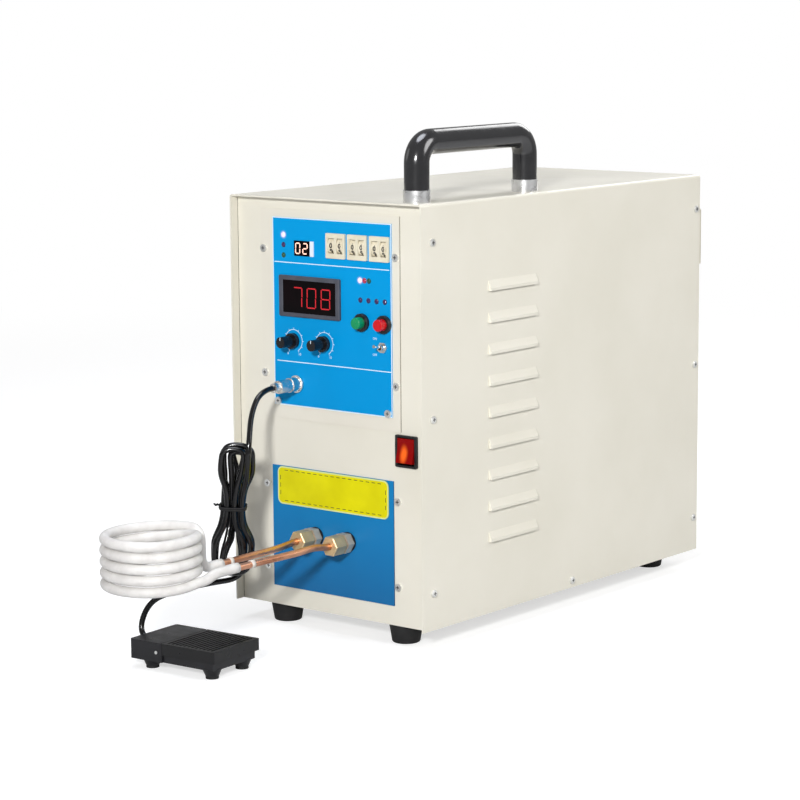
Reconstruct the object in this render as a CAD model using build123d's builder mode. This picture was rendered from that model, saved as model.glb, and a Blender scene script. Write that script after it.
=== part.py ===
from build123d import *
import math
import os

os.makedirs("parts", exist_ok=True)

# Induction heater. X runs across the front, Y to the rear, Z up from the floor, in mm.

# Case
cover_width = 232.6
cover_depth = 465.0
cover_height = 395.0
sheet = 1.5
cover_bend = 3.0
foot_height = 19.0
front_overhang = 9.5
rear_overhang = 2.0
edge_depth = 15.0
tray_side = 20.0
corner_relief = 4.0

# Louvres in each side of the cover
louvre_rows = 9
louvre_first = 69.0
louvre_pitch = 29.9
louvre_front = 101.0
louvre_length = 75.0
louvre_height = 10.0
louvre_proud = 3.0
louvre_wall = 1.0

# Feet
foot_top_radius = 16.4
foot_low_radius = 13.2
foot_x = 73.8
foot_front_y = 28.0
foot_rear_inset = 27.0

# Screws
cover_screw_front_y = 16.0
cover_screw_rear_inset = 8.0
cover_screw_heights = (35.0, 197.7, 360.0)
tray_screw_y = 237.0
tray_screw_z = 7.3
screw_head_radius = 3.6
screw_head_height = 2.0
screw_radius = 1.75
screw_length = 7.0
screw_fit = 0.05
panel_screw_x = 80.5
plate_screw_heights = (226.0, 345.0)
panel_screw_heights = (37.0, 118.0)

# Control plate, overlay and lower plate
plate_thickness = 1.0
plate_width = 168.6
plate_low = 183.0
plate_height = 200.0
overlay_thickness = 0.8
overlay_left = -69.0
overlay_width = 144.7
overlay_low = 196.4
overlay_height = 179.1
overlay_screws = ((-63.5, 200.0), (71.0, 200.0))
opening_width = 152.0
opening_low = 190.0
opening_height = 186.0
lower_x = 0.6
lower_width = 149.2
lower_low = 18.6
lower_height = 118.3
label_x = 1.4
label_width = 136.8
label_low = 99.8
label_height = 36.6
label_thickness = 0.5
label_corner = 6.0

# Number switches
case_x = (10.0, 36.1, 62.3)
case_z = 351.7
case_width = 23.2
case_height = 23.4
case_lip = 2.0
case_wall = 1.2
case_body_width = 22.0
case_body_height = 21.8
case_body_depth = 18.0
case_slot_width = 7.6
case_slot_height = 14.4
wheel_spacing = 10.4
wheel_radius = 9.2
drum_radius = 8.7
wheel_width = 7.0
drum_width = 5.0
wheel_axis_depth = 4.9
wheel_axle = 1.5
wheel_divider = 1.2
wheel_hub_radius = 3.0
wheel_end_gap = 0.1
wheel_teeth = 20
running_fit = 0.05

# Display and counter
bezel_x = -22.5
bezel_z = 301.5
bezel_width = 75.0
bezel_height = 39.0
bezel_proud = 3.0
window_width = 64.8
window_height = 31.0
window_thickness = 2.0
counter_x = -31.9
counter_z = 347.1
counter_width = 19.4
counter_height = 14.3
counter_thickness = 0.8

# Indicator lights
led_radius = 2.3
led_flange_radius = 2.6
led_proud = 1.2
led_spots = (
    (-55.4, 359.0),
    (-55.4, 349.5),
    (-55.4, 339.7),
    (38.2, 321.5),
    (43.5, 321.5),
    (48.8, 321.5),
    (38.4, 303.2),
    (48.1, 303.2),
    (57.8, 303.2),
    (67.5, 303.2),
)

# Knobs
knob_left_x = -44.0
knob_right_x = -5.9
knob_z = 259.0
knob_skirt_radius = 7.5
knob_grip_radius = 5.3
knob_skirt_top = 7.0
knob_front = 21.5
knob_lift = 0.8
knob_shaft = 3.0
bushing_radius = 4.5
bushing_proud = 2.0
pot_radius = 8.0
pot_depth = 9.0

# Push buttons
start_x = 40.5
stop_x = 67.0
button_z = 282.5
button_ring_radius = 8.5
button_barrel_radius = 7.6
button_ring_proud = 3.7
button_cap_radius = 5.5
button_front = 12.5
button_flange_radius = 6.4
button_cavity_radius = 6.7
button_cavity_top = -3.0
button_cavity_floor = -13.0
button_barrel_end = -14.5
button_flange_height = 3.0

# Toggle
toggle_x = 65.4
toggle_z = 261.0
toggle_bushing_radius = 3.2
toggle_nut_radius = 4.6
toggle_nut_height = 2.0
toggle_body_width = 8.0
toggle_body_height = 13.0
toggle_body_depth = 12.0
toggle_proud = 5.5
toggle_bore = 2.1
toggle_ball = 2.0
toggle_pivot = 4.0
toggle_rod = 1.1
toggle_tip = 1.5
toggle_reach = 12.0
toggle_tilt = 12.0

# Foot switch socket and plug
socket_x = -40.0
socket_z = 218.0
socket_ring_radius = 8.3
socket_ring_proud = 2.5
socket_tube_radius = 6.0
socket_tube_end = 12.0
socket_body_radius = 7.4
socket_body_depth = 14.0
plug_radius = 7.0
plug_shell_end = 30.0
plug_end = 36.5
plug_tail_radius = 4.6

# Rocker switch
rocker_side_inset = 24.75
rocker_z = 166.5
rocker_frame_width = 25.3
rocker_frame_height = 30.0
rocker_frame_proud = 2.5
rocker_body_width = 22.6
rocker_body_height = 28.0
rocker_body_depth = 14.0
rocker_cavity_width = 20.0
rocker_cavity_height = 26.0
rocker_width = 19.2
rocker_half_height = 11.4
rocker_pivot_depth = 2.0
rocker_pivot_radius = 1.5
rocker_tilt = 8.0

# Handle
handle_side_inset = 20.6
handle_front_y = 20.6
handle_rear_y = 186.0
handle_axis_z = 449.5
handle_radius = 11.7
handle_bend = 19.0
ferrule_radius = 12.6
ferrule_height = 11.5

# Pipe fittings
fitting_x = 20.0
fitting_z = 72.6
grommet_radius = 9.4
grommet_thickness = 2.5
collar_flats = 17.5
collar_length = 8.5
tube_radius = 6.3
tube_front = 22.0
tube_rear = -22.0
back_nut_flats = 19.0
back_nut_length = 5.0
nut_flats = 17.0
nut_back = 13.5
nut_front = 29.0

# Work coil and its sleeve, measured from the front edge and the bottom of the cover
pipe_radius = 3.25
pipe_bore = 2.25
sleeve_radius = 4.5
sleeve_fit = 0.05
coil_x = -28.8
coil_ahead = 205.5
coil_radius = 41.5
coil_quarters = 18
coil_pitch = 10.2
coil_height = 65.4
coil_phase = 45.4
coil_lift = 1.3
coil_hump = 5.0
coil_hump_phase = -37.0
lead_x = 12.7
lead_ahead = 160.0
lead_z = 73.0
lead_low_ahead = 186.0
lead_low_z = 68.5
riser_x = -15.3
riser_ahead = 155.6
riser_bend = 11.0
riser_top = 108.6
return_z = 71.2
pipe_stub = 10.0
lead_bends = ((18.9, 39.0, 75.2), (17.6, 62.0, 73.8))
return_bend = (-17.8, 50.0, 71.0)
sleeve_start_ahead = 138.4
sleeve_end_ahead = 128.8

# Foot switch cord
cord_radius = 2.65
hank_x = -51.2
hank_ahead = 73.0
hank_z = 111.0
hank_lean = 0.0476
hank_turn = 39.0
hank_top_half = 16.5
hank_low_half = 19.6
hank_top_reach = 45.4
hank_low_reach = 44.6
hank_step = 7.0
hank_layer = 7.0
hank_runs = 11
hank_entry_across = 12.5
hank_entry_depth = 17.5
tie_height = 4.0
tie_thickness = 1.2
tie_gap = 0.1
tie_tail = 9.0
upper_lead = 17.0
upper_bend = (-37.5, 61.0, 199.5)
upper_drop = 18.0
lower_drop = 25.0
lower_bends = ((-68.0, 90.0, 38.5), (-77.0, 121.0, 37.0), (-85.0, 155.0, 31.0))
bush_lead = 21.0

# Pedal
pedal_x = -19.6
pedal_ahead = 161.9
pedal_turn = 3.2
pedal_length = 98.0
pedal_width = 64.5
pedal_floor = 8.5
pedal_floor_thickness = 2.5
pedal_rear_height = 26.5
pedal_housing = 37.0
pedal_inset = 2.8
pedal_wall = 2.0
pedal_wall_top = 19.0
pedal_gap = 0.6
treadle_plate = 2.5
treadle_skirt = 11.0
treadle_skirt_wall = 1.9
treadle_lip = 0.8
treadle_ribs = 12
pin_back = 31.0
pin_height = 17.5
pin_radius = 1.5
pin_proud = 0.4
arm_y = 23.0
arm_width = 4.0
arm_radius = 3.6
pad_radius = 6.0
pad_height = 2.5
pedal_rise = 0.5
leg_top = 9.0
leg_low = 6.2
leg_front_x = 38.0
leg_rear_x = -32.0
leg_y = 21.0
spring_x = 23.5
spring_radius = 4.5
spring_wire = 0.6
spring_quarters = 18
spring_gap = 0.25
switch_length = 20.0
switch_width = 7.0
switch_height = 9.0
bush_radius = 4.6
bush_length = 3.5
bush_y = 2.0
bush_z = 16.5

# Rear
tail_reach = 30.0
tail_x = (-80.0, -45.0)
tail_z = 40.0
tail_radius = 4.0
tail_collar_radius = 5.5
tail_collar_end = 7.5
tail_tip = 0.8
tail_neck = 5.0
tail_bore = 2.6
tail_flats = 17.0
tail_hex = 6.0
tail_nut = 8.0
fan_x = -32.0
fan_z = 235.0
fan_size = 120.0
fan_depth = 25.0
fan_rim = 2.5
fan_tip_gap = 2.5
fan_strut = 4.0
fan_strut_width = 6.0
fan_stub = 16.0
fan_end_gap = 0.5
fan_hub_length = 17.0
fan_blade_middle = 13.0
fan_blade_chord = 24.0
fan_blade_thick = 1.8
fan_blades = 7
fan_shaft = 3.0
guard_wire = 2.2
terminal_left = 33.3
terminal_width = 70.0
terminal_low = 300.0
terminal_height = 65.0
terminal_depth = 25.0
terminal_wall = 1.5
terminal_chamfer = 9.0
cable_hole = 6.0

# Inside
sink_width = 110.0
sink_length = 150.0
sink_height = 40.0
sink_base = 8.0
sink_fin = 2.0
sink_fins = 12
sink_rear_inset = 125.0
module_width = 34.0
module_length = 90.0
module_height = 24.0
module_spacing = 54.0
transformer_y = 95.0
transformer_side = 80.0
transformer_height = 96.0
lead_block = 16.0
capacitor_y = 120.0
capacitor_gap = 9.5
capacitor_length = 100.0
capacitor_height = 66.0
stud_spacing = 56.0
stud_radius = 5.0
stud_height = 10.0
board_depth = 26.0
board_thickness = 1.6
board_low = 194.0
board_width = 136.0
board_height = 148.0
board_post = 3.0
board_posts = ((-60.0, 236.0), (50.0, 212.0), (-63.0, 330.0), (63.0, 330.0))

side = cover_width / 2
inside = side - sheet
front = (coil_ahead + coil_radius + sleeve_radius - cover_depth - tail_reach) / 2
panel_y = front + front_overhang
rear_y = front + cover_depth - rear_overhang
top_z = foot_height + cover_height
face = plate_thickness + overlay_thickness
foot_rear_y = cover_depth - foot_rear_inset
cover_screw_rear_y = cover_depth - cover_screw_rear_inset
sink_y = cover_depth - sink_rear_inset
rocker_x = side - rocker_side_inset
handle_x = side - handle_side_inset
fan_opening = fan_size / 2 - fan_rim
fan_blade_radius = fan_opening - fan_tip_gap
fan_hub = fan_size / 6

# Front of the case: local x is X, local y is height above the bottom of the cover
panel = Plane(origin=(0, panel_y, foot_height), x_dir=(1, 0, 0), z_dir=(0, -1, 0))
# Rear of the case, seen from the rear, with local x kept along X by drawing on its inner side
rear = Plane(origin=(0, rear_y, foot_height), x_dir=(1, 0, 0), z_dir=(0, -1, 0))


# A point measured from the front edge and the bottom of the cover
def spot(x, ahead, z):
    return Vector(x, front - ahead, foot_height + z)


# Two arcs that meet smoothly, between two points with a direction at each
def add_biarc(start, start_way, end, end_way):
    chord = end - start
    both = start_way + end_way
    a = 2 * (1 - start_way.dot(end_way))
    b = 2 * chord.dot(both)
    c = -chord.dot(chord)
    if abs(a) < 1e-9:
        reach = -c / b
    else:
        reach = (-b + math.sqrt(b * b - 4 * a * c)) / (2 * a)
    first = start + start_way * reach
    second = end - end_way * reach
    middle = (first + second) * 0.5
    TangentArc(start, middle, tangent=start_way)
    TangentArc(middle, end, tangent=(second - first).normalized())


# Points along a chain of edges, about one step apart, with the distance run so far
def walk(edges, step):
    points = []
    run = 0.0
    for edge in edges:
        count = max(2, int(edge.length / step))
        for index in range(count):
            place = edge.position_at(index / count)
            points.append((run + edge.length * index / count, place.X, place.Y, place.Z))
        run += edge.length
    return points


# Least distance between parts of a tube that lie further apart than one full bend
def least_gap(edges, radius, step, skip):
    points = walk(edges, step)
    least = 1e9
    for index, (run, x, y, z) in enumerate(points):
        for other, x2, y2, z2 in points[index + 1:]:
            if other - run > skip:
                far = (x - x2) ** 2 + (y - y2) ** 2 + (z - z2) ** 2
                if far < least:
                    least = far
    return math.sqrt(least) - 2 * radius


# What a swept cord came to: its length, its volume and the volume that it should have
def report_tube(name, edges, volume):
    length = sum(edge.length for edge in edges)
    print(name, "length", round(length, 1), "volume", round(volume, 1), end=" ")
    print("section times length", round(math.pi * cord_radius**2 * length, 1))


# A bend radius for each corner of a route, from the shorter run beside it
def bend_radii(points):
    radii = []
    for before, corner, after in zip(points, points[1:], points[2:]):
        first = corner - before
        second = after - corner
        half = math.radians(first.get_angle(second)) / 2
        radii.append(0.45 * min(first.length, second.length) / math.tan(half))
    return radii


with BuildPart() as cover:
    with BuildSketch(Plane.XZ.offset(-front)) as cover_outline:
        with Locations((0, foot_height)):
            Rectangle(side, cover_height, align=(Align.MIN, Align.MIN))
        fillet(cover_outline.vertices().sort_by_distance((side, top_z, 0))[0], cover_bend)
    extrude(amount=-cover_depth)
    with BuildSketch(Plane.XZ.offset(-front)) as cover_hollow:
        with Locations((0, foot_height)):
            Rectangle(inside, cover_height - sheet, align=(Align.MIN, Align.MIN))
        fillet(
            cover_hollow.vertices().sort_by_distance((inside, top_z - sheet, 0))[0],
            cover_bend - sheet,
        )
    extrude(amount=-cover_depth, mode=Mode.SUBTRACT)
    for row in range(louvre_rows):
        low = foot_height + louvre_first + row * louvre_pitch
        with BuildSketch(Plane.XZ.offset(-front - louvre_front)):
            with BuildLine():
                Polyline(
                    (side - sheet / 2, low),
                    (side + louvre_proud, low),
                    (side + louvre_proud, low + 3),
                    (side, low + louvre_height),
                    (side - sheet / 2, low + louvre_height),
                    close=True,
                )
            make_face()
        extrude(amount=-louvre_length)
        with BuildSketch(Plane.XZ.offset(-front - louvre_front - louvre_wall)):
            with BuildLine():
                Polyline(
                    (side - 2 * sheet, low),
                    (side + louvre_proud - louvre_wall, low),
                    (side + louvre_proud - louvre_wall, low + 2.6),
                    (side, low + louvre_height - 2.4),
                    (side - 2 * sheet, low + louvre_height - 2.4),
                    close=True,
                )
            make_face()
        extrude(amount=2 * louvre_wall - louvre_length, mode=Mode.SUBTRACT)
    for screw_y in (cover_screw_front_y, cover_screw_rear_y):
        for screw_z in cover_screw_heights:
            with Locations((side, front + screw_y, foot_height + screw_z)):
                Cylinder(screw_radius + screw_fit, 4 * sheet, rotation=(0, 90, 0), mode=Mode.SUBTRACT)
    with Locations((side, front + tray_screw_y, foot_height + tray_screw_z)):
        Cylinder(screw_radius + screw_fit, 4 * sheet, rotation=(0, 90, 0), mode=Mode.SUBTRACT)
    mirror(about=Plane.YZ)
cover.part.label = "cover"
export_step(cover.part, "parts/cover.step")

with BuildPart() as base_tray:
    tray_length = rear_y - sheet - (panel_y + sheet)
    tray_y = (rear_y + panel_y) / 2
    with Locations((0, tray_y, foot_height)):
        Box(2 * inside, tray_length, tray_side, align=(Align.CENTER, Align.CENTER, Align.MIN))
    with Locations((0, tray_y, foot_height + sheet)):
        Box(
            2 * (inside - sheet),
            tray_length,
            tray_side,
            align=(Align.CENTER, Align.CENTER, Align.MIN),
            mode=Mode.SUBTRACT,
        )
    with Locations((0, front + tray_screw_y, foot_height + tray_screw_z)):
        Cylinder(
            screw_radius + screw_fit, 2 * inside + 2, rotation=(0, 90, 0), mode=Mode.SUBTRACT
        )
base_tray.part.label = "base_tray"
export_step(base_tray.part, "parts/base_tray.step")

with BuildPart() as front_panel:
    with BuildSketch(panel) as front_outline:
        Rectangle(2 * inside, cover_height - sheet, align=(Align.CENTER, Align.MIN))
        fillet(front_outline.vertices().group_by(Axis.Y)[-1], cover_bend - sheet)
        with Locations((0, opening_low + opening_height / 2)):
            Rectangle(opening_width, opening_height, mode=Mode.SUBTRACT)
        with Locations((rocker_x, rocker_z)):
            Rectangle(
                rocker_body_width + 2 * running_fit,
                rocker_body_height + 2 * running_fit,
                mode=Mode.SUBTRACT,
            )
        with Locations((fitting_x, fitting_z), (-fitting_x, fitting_z)):
            Circle(tube_radius + running_fit, mode=Mode.SUBTRACT)
        for screw_z in plate_screw_heights + panel_screw_heights:
            with Locations((panel_screw_x, screw_z), (-panel_screw_x, screw_z)):
                Circle(screw_radius + screw_fit, mode=Mode.SUBTRACT)
    extrude(amount=-sheet)
    edge_height = cover_height - sheet - tray_side - corner_relief
    with Locations(
        (inside - sheet / 2, panel_y + sheet, foot_height + tray_side),
        (-inside + sheet / 2, panel_y + sheet, foot_height + tray_side),
    ):
        Box(sheet, edge_depth, edge_height, align=(Align.CENTER, Align.MIN, Align.MIN))
    with Locations((0, panel_y + sheet, top_z - sheet)):
        Box(
            2 * (inside - corner_relief),
            edge_depth,
            sheet,
            align=(Align.CENTER, Align.MIN, Align.MAX),
        )
    for screw_z in cover_screw_heights:
        with Locations((0, front + cover_screw_front_y, foot_height + screw_z)):
            Cylinder(
                screw_radius + screw_fit, 2 * inside + 2, rotation=(0, 90, 0), mode=Mode.SUBTRACT
            )
front_panel.part.label = "front_panel"
export_step(front_panel.part, "parts/front_panel.step")

with BuildPart() as rear_panel:
    with BuildSketch(rear) as rear_outline:
        Rectangle(2 * inside, cover_height - sheet, align=(Align.CENTER, Align.MIN))
        fillet(rear_outline.vertices().group_by(Axis.Y)[-1], cover_bend - sheet)
        with Locations((fan_x, fan_z)):
            Circle(fan_opening, mode=Mode.SUBTRACT)
        with Locations((tail_x[0], tail_z), (tail_x[1], tail_z)):
            Circle(tail_neck + running_fit, mode=Mode.SUBTRACT)
        with Locations((terminal_left + terminal_width / 2, terminal_low + terminal_height / 2)):
            Rectangle(terminal_width - 20, terminal_height - 25, mode=Mode.SUBTRACT)
    extrude(amount=sheet)
    edge_height = cover_height - sheet - tray_side - corner_relief
    with Locations(
        (inside - sheet / 2, rear_y - sheet, foot_height + tray_side),
        (-inside + sheet / 2, rear_y - sheet, foot_height + tray_side),
    ):
        Box(sheet, edge_depth, edge_height, align=(Align.CENTER, Align.MAX, Align.MIN))
    with Locations((0, rear_y - sheet, top_z - sheet)):
        Box(
            2 * (inside - corner_relief),
            edge_depth,
            sheet,
            align=(Align.CENTER, Align.MAX, Align.MAX),
        )
    for screw_z in cover_screw_heights:
        with Locations((0, front + cover_screw_rear_y, foot_height + screw_z)):
            Cylinder(
                screw_radius + screw_fit, 2 * inside + 2, rotation=(0, 90, 0), mode=Mode.SUBTRACT
            )
rear_panel.part.label = "rear_panel"
export_step(rear_panel.part, "parts/rear_panel.step")


# Openings that the control plate and its overlay have in common
def cut_controls():
    with Locations(*[(x, case_z) for x in case_x]):
        Rectangle(
            case_body_width + 2 * running_fit,
            case_body_height + 2 * running_fit,
            mode=Mode.SUBTRACT,
        )
    with Locations((bezel_x, bezel_z)):
        Rectangle(window_width - 6, window_height - 6, mode=Mode.SUBTRACT)
    with Locations((counter_x, counter_z)):
        Rectangle(counter_width - 3, counter_height - 3, mode=Mode.SUBTRACT)
    with Locations(*led_spots):
        Circle(led_radius + running_fit, mode=Mode.SUBTRACT)
    with Locations((start_x, button_z), (stop_x, button_z)):
        Circle(button_barrel_radius + running_fit, mode=Mode.SUBTRACT)
    with Locations((knob_left_x, knob_z), (knob_right_x, knob_z)):
        Circle(bushing_radius + running_fit, mode=Mode.SUBTRACT)
    with Locations((toggle_x, toggle_z)):
        Circle(toggle_bushing_radius + running_fit, mode=Mode.SUBTRACT)
    with Locations((socket_x, socket_z)):
        Circle(socket_body_radius + running_fit, mode=Mode.SUBTRACT)


with BuildPart() as control_plate:
    with BuildSketch(panel):
        with Locations((0, plate_low)):
            Rectangle(plate_width, plate_height, align=(Align.CENTER, Align.MIN))
        cut_controls()
        for screw_z in plate_screw_heights:
            with Locations((panel_screw_x, screw_z), (-panel_screw_x, screw_z)):
                Circle(screw_radius + screw_fit, mode=Mode.SUBTRACT)
        with Locations(*overlay_screws):
            Circle(screw_radius + screw_fit, mode=Mode.SUBTRACT)
    extrude(amount=plate_thickness)
control_plate.part.label = "control_plate"
export_step(control_plate.part, "parts/control_plate.step")

with BuildPart() as control_overlay:
    with BuildSketch(panel.offset(plate_thickness)):
        with Locations((overlay_left, overlay_low)):
            Rectangle(overlay_width, overlay_height, align=(Align.MIN, Align.MIN))
        cut_controls()
        with Locations(*overlay_screws):
            Circle(screw_radius + screw_fit, mode=Mode.SUBTRACT)
    extrude(amount=overlay_thickness)
control_overlay.part.label = "control_overlay"
export_step(control_overlay.part, "parts/control_overlay.step")

with BuildPart() as lower_plate:
    with BuildSketch(panel):
        with Locations((lower_x, lower_low)):
            Rectangle(lower_width, lower_height, align=(Align.CENTER, Align.MIN))
        with Locations((fitting_x, fitting_z), (-fitting_x, fitting_z)):
            Circle(tube_radius + running_fit, mode=Mode.SUBTRACT)
    extrude(amount=plate_thickness)
lower_plate.part.label = "lower_plate"
export_step(lower_plate.part, "parts/lower_plate.step")

with BuildPart() as label_plate:
    with BuildSketch(panel.offset(plate_thickness)):
        with Locations((label_x, label_low + label_height / 2)):
            RectangleRounded(label_width, label_height, label_corner)
    extrude(amount=label_thickness)
label_plate.part.label = "label_plate"
export_step(label_plate.part, "parts/label_plate.step")

with BuildPart() as rubber_feet:
    with Locations(
        (foot_x, front + foot_front_y, foot_height / 2),
        (-foot_x, front + foot_front_y, foot_height / 2),
        (foot_x, front + foot_rear_y, foot_height / 2),
        (-foot_x, front + foot_rear_y, foot_height / 2),
    ):
        Cone(foot_low_radius, foot_top_radius, foot_height)
    fillet(rubber_feet.edges().group_by(Axis.Z)[0], 2.0)
rubber_feet.part.label = "rubber_feet"
export_step(rubber_feet.part, "parts/rubber_feet.step")


# A pan head screw whose head rests on the drawing plane
def add_screw():
    Cylinder(
        screw_head_radius,
        screw_head_height,
        align=(Align.CENTER, Align.CENTER, Align.MIN),
    )
    Cylinder(screw_radius, screw_length, align=(Align.CENTER, Align.CENTER, Align.MAX))


with BuildPart() as cover_screws:
    seats = [(tray_screw_y, tray_screw_z)]
    for screw_z in cover_screw_heights:
        seats.append((cover_screw_front_y, screw_z))
        seats.append((cover_screw_rear_y, screw_z))
    for seat_y, seat_z in seats:
        for way in (1, -1):
            seat = Plane(
                origin=(way * side, front + seat_y, foot_height + seat_z),
                x_dir=(0, 1, 0),
                z_dir=(way, 0, 0),
            )
            with Locations(seat):
                add_screw()
    chamfer(cover_screws.edges().filter_by(GeomType.CIRCLE).group_by(Axis.X)[0], 0.7)
    chamfer(cover_screws.edges().filter_by(GeomType.CIRCLE).group_by(Axis.X)[-1], 0.7)
cover_screws.part.label = "cover_screws"
export_step(cover_screws.part, "parts/cover_screws.step")

with BuildPart() as panel_screws:
    for screw_z in plate_screw_heights:
        for way in (1, -1):
            with Locations(panel.offset(plate_thickness) * Pos(way * panel_screw_x, screw_z, 0)):
                add_screw()
    for screw_z in panel_screw_heights:
        for way in (1, -1):
            with Locations(panel * Pos(way * panel_screw_x, screw_z, 0)):
                add_screw()
    for screw_x, screw_z in overlay_screws:
        with Locations(panel.offset(face) * Pos(screw_x, screw_z, 0)):
            add_screw()
panel_screws.part.label = "panel_screws"
export_step(panel_screws.part, "parts/panel_screws.step")

with BuildPart() as handle_grip:
    leg_front = front + handle_front_y
    leg_rear = front + handle_rear_y
    bar_z = foot_height + handle_axis_z
    with BuildLine() as handle_line:
        FilletPolyline(
            (handle_x, leg_front, top_z),
            (handle_x, leg_front, bar_z),
            (handle_x, leg_rear, bar_z),
            (handle_x, leg_rear, top_z),
            radius=handle_bend,
        )
    with BuildSketch(Plane(origin=(handle_x, leg_front, top_z), z_dir=(0, 0, 1))):
        Circle(handle_radius)
    sweep()
handle_grip.part.label = "handle_grip"
export_step(handle_grip.part, "parts/handle_grip.step")

with BuildPart() as handle_ferrules:
    with BuildSketch(Plane.XY.offset(top_z)):
        with Locations((handle_x, front + handle_front_y), (handle_x, front + handle_rear_y)):
            Circle(ferrule_radius)
            Circle(handle_radius + running_fit, mode=Mode.SUBTRACT)
    extrude(amount=ferrule_height)
handle_ferrules.part.label = "handle_ferrules"
export_step(handle_ferrules.part, "parts/handle_ferrules.step")

rocker_side = Plane(
    origin=(rocker_x, panel_y + rocker_pivot_depth, foot_height + rocker_z),
    x_dir=(0, -1, 0),
    z_dir=(-1, 0, 0),
)

with BuildPart() as rocker_bezel:
    with BuildSketch(panel):
        with Locations((rocker_x, rocker_z)):
            RectangleRounded(rocker_frame_width, rocker_frame_height, 1.5)
    extrude(amount=rocker_frame_proud)
    with BuildSketch(panel):
        with Locations((rocker_x, rocker_z)):
            Rectangle(rocker_body_width, rocker_body_height)
    extrude(amount=-rocker_body_depth)
    with BuildSketch(panel.offset(rocker_frame_proud)):
        with Locations((rocker_x, rocker_z)):
            Rectangle(rocker_cavity_width, rocker_cavity_height)
    extrude(amount=1.5 - rocker_body_depth - rocker_frame_proud, mode=Mode.SUBTRACT)
    with BuildSketch(rocker_side):
        Circle(rocker_pivot_radius)
    extrude(amount=rocker_cavity_width / 2 + 0.5, both=True)
rocker_bezel.part.label = "rocker_bezel"
export_step(rocker_bezel.part, "parts/rocker_bezel.step")

with BuildPart() as rocker:
    rocker_angle = math.radians(rocker_tilt)
    rocker_tilted = Plane(
        origin=rocker_side.origin,
        x_dir=(0, -math.cos(rocker_angle), math.sin(rocker_angle)),
        z_dir=(-1, 0, 0),
    )
    with BuildSketch(rocker_tilted):
        with BuildLine():
            Polyline(
                (-5.0, -4.0),
                (0.5, -rocker_half_height),
                (6.2, -rocker_half_height),
                (5.0, 0),
                (6.2, rocker_half_height),
                (0.5, rocker_half_height),
                (-5.0, 4.0),
                close=True,
            )
        make_face()
        Circle(rocker_pivot_radius + running_fit, mode=Mode.SUBTRACT)
    extrude(amount=rocker_width / 2, both=True)
rocker.part.label = "rocker"
export_step(rocker.part, "parts/rocker.step")

with BuildPart() as display_bezel:
    with BuildSketch(panel.offset(face)):
        with Locations((bezel_x, bezel_z)):
            RectangleRounded(bezel_width, bezel_height, 1.5)
            Rectangle(window_width, window_height, mode=Mode.SUBTRACT)
    extrude(amount=bezel_proud)
    chamfer(display_bezel.edges().group_by(Axis.Y)[0].filter_by(Axis.Z), 0.8)
display_bezel.part.label = "display_bezel"
export_step(display_bezel.part, "parts/display_bezel.step")

with BuildPart() as display_windows:
    with BuildSketch(panel.offset(face)):
        with Locations((bezel_x, bezel_z)):
            Rectangle(window_width, window_height)
    extrude(amount=window_thickness)
    with BuildSketch(panel.offset(face)):
        with Locations((counter_x, counter_z)):
            Rectangle(counter_width, counter_height)
    extrude(amount=counter_thickness)
display_windows.part.label = "display_windows"
export_step(display_windows.part, "parts/display_windows.step")

axle_y = panel_y + wheel_axis_depth
axle_z = foot_height + case_z
case_room = case_body_width - 2 * case_wall

with BuildPart() as thumbwheel_cases:
    with BuildSketch(panel.offset(face)):
        with Locations(*[(x, case_z) for x in case_x]):
            RectangleRounded(case_width, case_height, 1.0)
    extrude(amount=case_lip)
    with BuildSketch(panel.offset(face)):
        with Locations(*[(x, case_z) for x in case_x]):
            Rectangle(case_body_width, case_body_height)
    extrude(amount=-case_body_depth)
    with BuildSketch(panel.offset(face)):
        with Locations(*[(x, case_z) for x in case_x]):
            Rectangle(case_room, case_body_height - 2 * case_wall)
    extrude(amount=-case_body_depth, mode=Mode.SUBTRACT)
    with BuildSketch(panel.offset(face + case_lip)):
        for x in case_x:
            with Locations((x - wheel_spacing / 2, case_z), (x + wheel_spacing / 2, case_z)):
                Rectangle(case_slot_width, case_slot_height, mode=Mode.ADD)
    extrude(amount=-case_lip, mode=Mode.SUBTRACT)
    for x in case_x:
        with Locations((x, axle_y, axle_z)):
            Box(wheel_divider, wheel_axle * 2 + 6, wheel_axle * 2 + 6)
            Cylinder(wheel_axle, case_room + case_wall, rotation=(0, 90, 0))
        with Locations((x, panel_y - face, axle_z)):
            Box(
                wheel_divider,
                case_body_depth,
                case_body_height - case_wall,
                align=(Align.CENTER, Align.MIN, Align.CENTER),
            )
thumbwheel_cases.part.label = "thumbwheel_cases"
export_step(thumbwheel_cases.part, "parts/thumbwheel_cases.step")

hub_inner = wheel_divider / 2 + wheel_end_gap
hub_outer = case_room / 2 - wheel_end_gap
wheel_number = 0
for x in case_x:
    for way in (-1, 1):
        wheel_number += 1
        wheel_x = x + way * wheel_spacing / 2
        hub_x = x + way * (hub_inner + hub_outer) / 2
        rim_x = wheel_x + way * (drum_width / 2)
        with BuildPart() as number_wheel:
            with Locations((wheel_x, axle_y, axle_z)):
                Cylinder(drum_radius, wheel_width, rotation=(0, 90, 0))
            with BuildSketch(Plane.YZ.offset(rim_x)):
                with Locations((axle_y, axle_z)):
                    Circle(wheel_radius)
                    with PolarLocations(wheel_radius, wheel_teeth):
                        Circle(0.6, mode=Mode.SUBTRACT)
            extrude(amount=(wheel_width - drum_width) / 2, both=True)
            with Locations((hub_x, axle_y, axle_z)):
                Cylinder(wheel_hub_radius, hub_outer - hub_inner, rotation=(0, 90, 0))
            with Locations((hub_x, axle_y, axle_z)):
                Cylinder(
                    wheel_axle + running_fit,
                    case_room,
                    rotation=(0, 90, 0),
                    mode=Mode.SUBTRACT,
                )
        number_wheel.part.label = f"number_wheel_{wheel_number}"
        export_step(number_wheel.part, f"parts/number_wheel_{wheel_number}.step")

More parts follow.
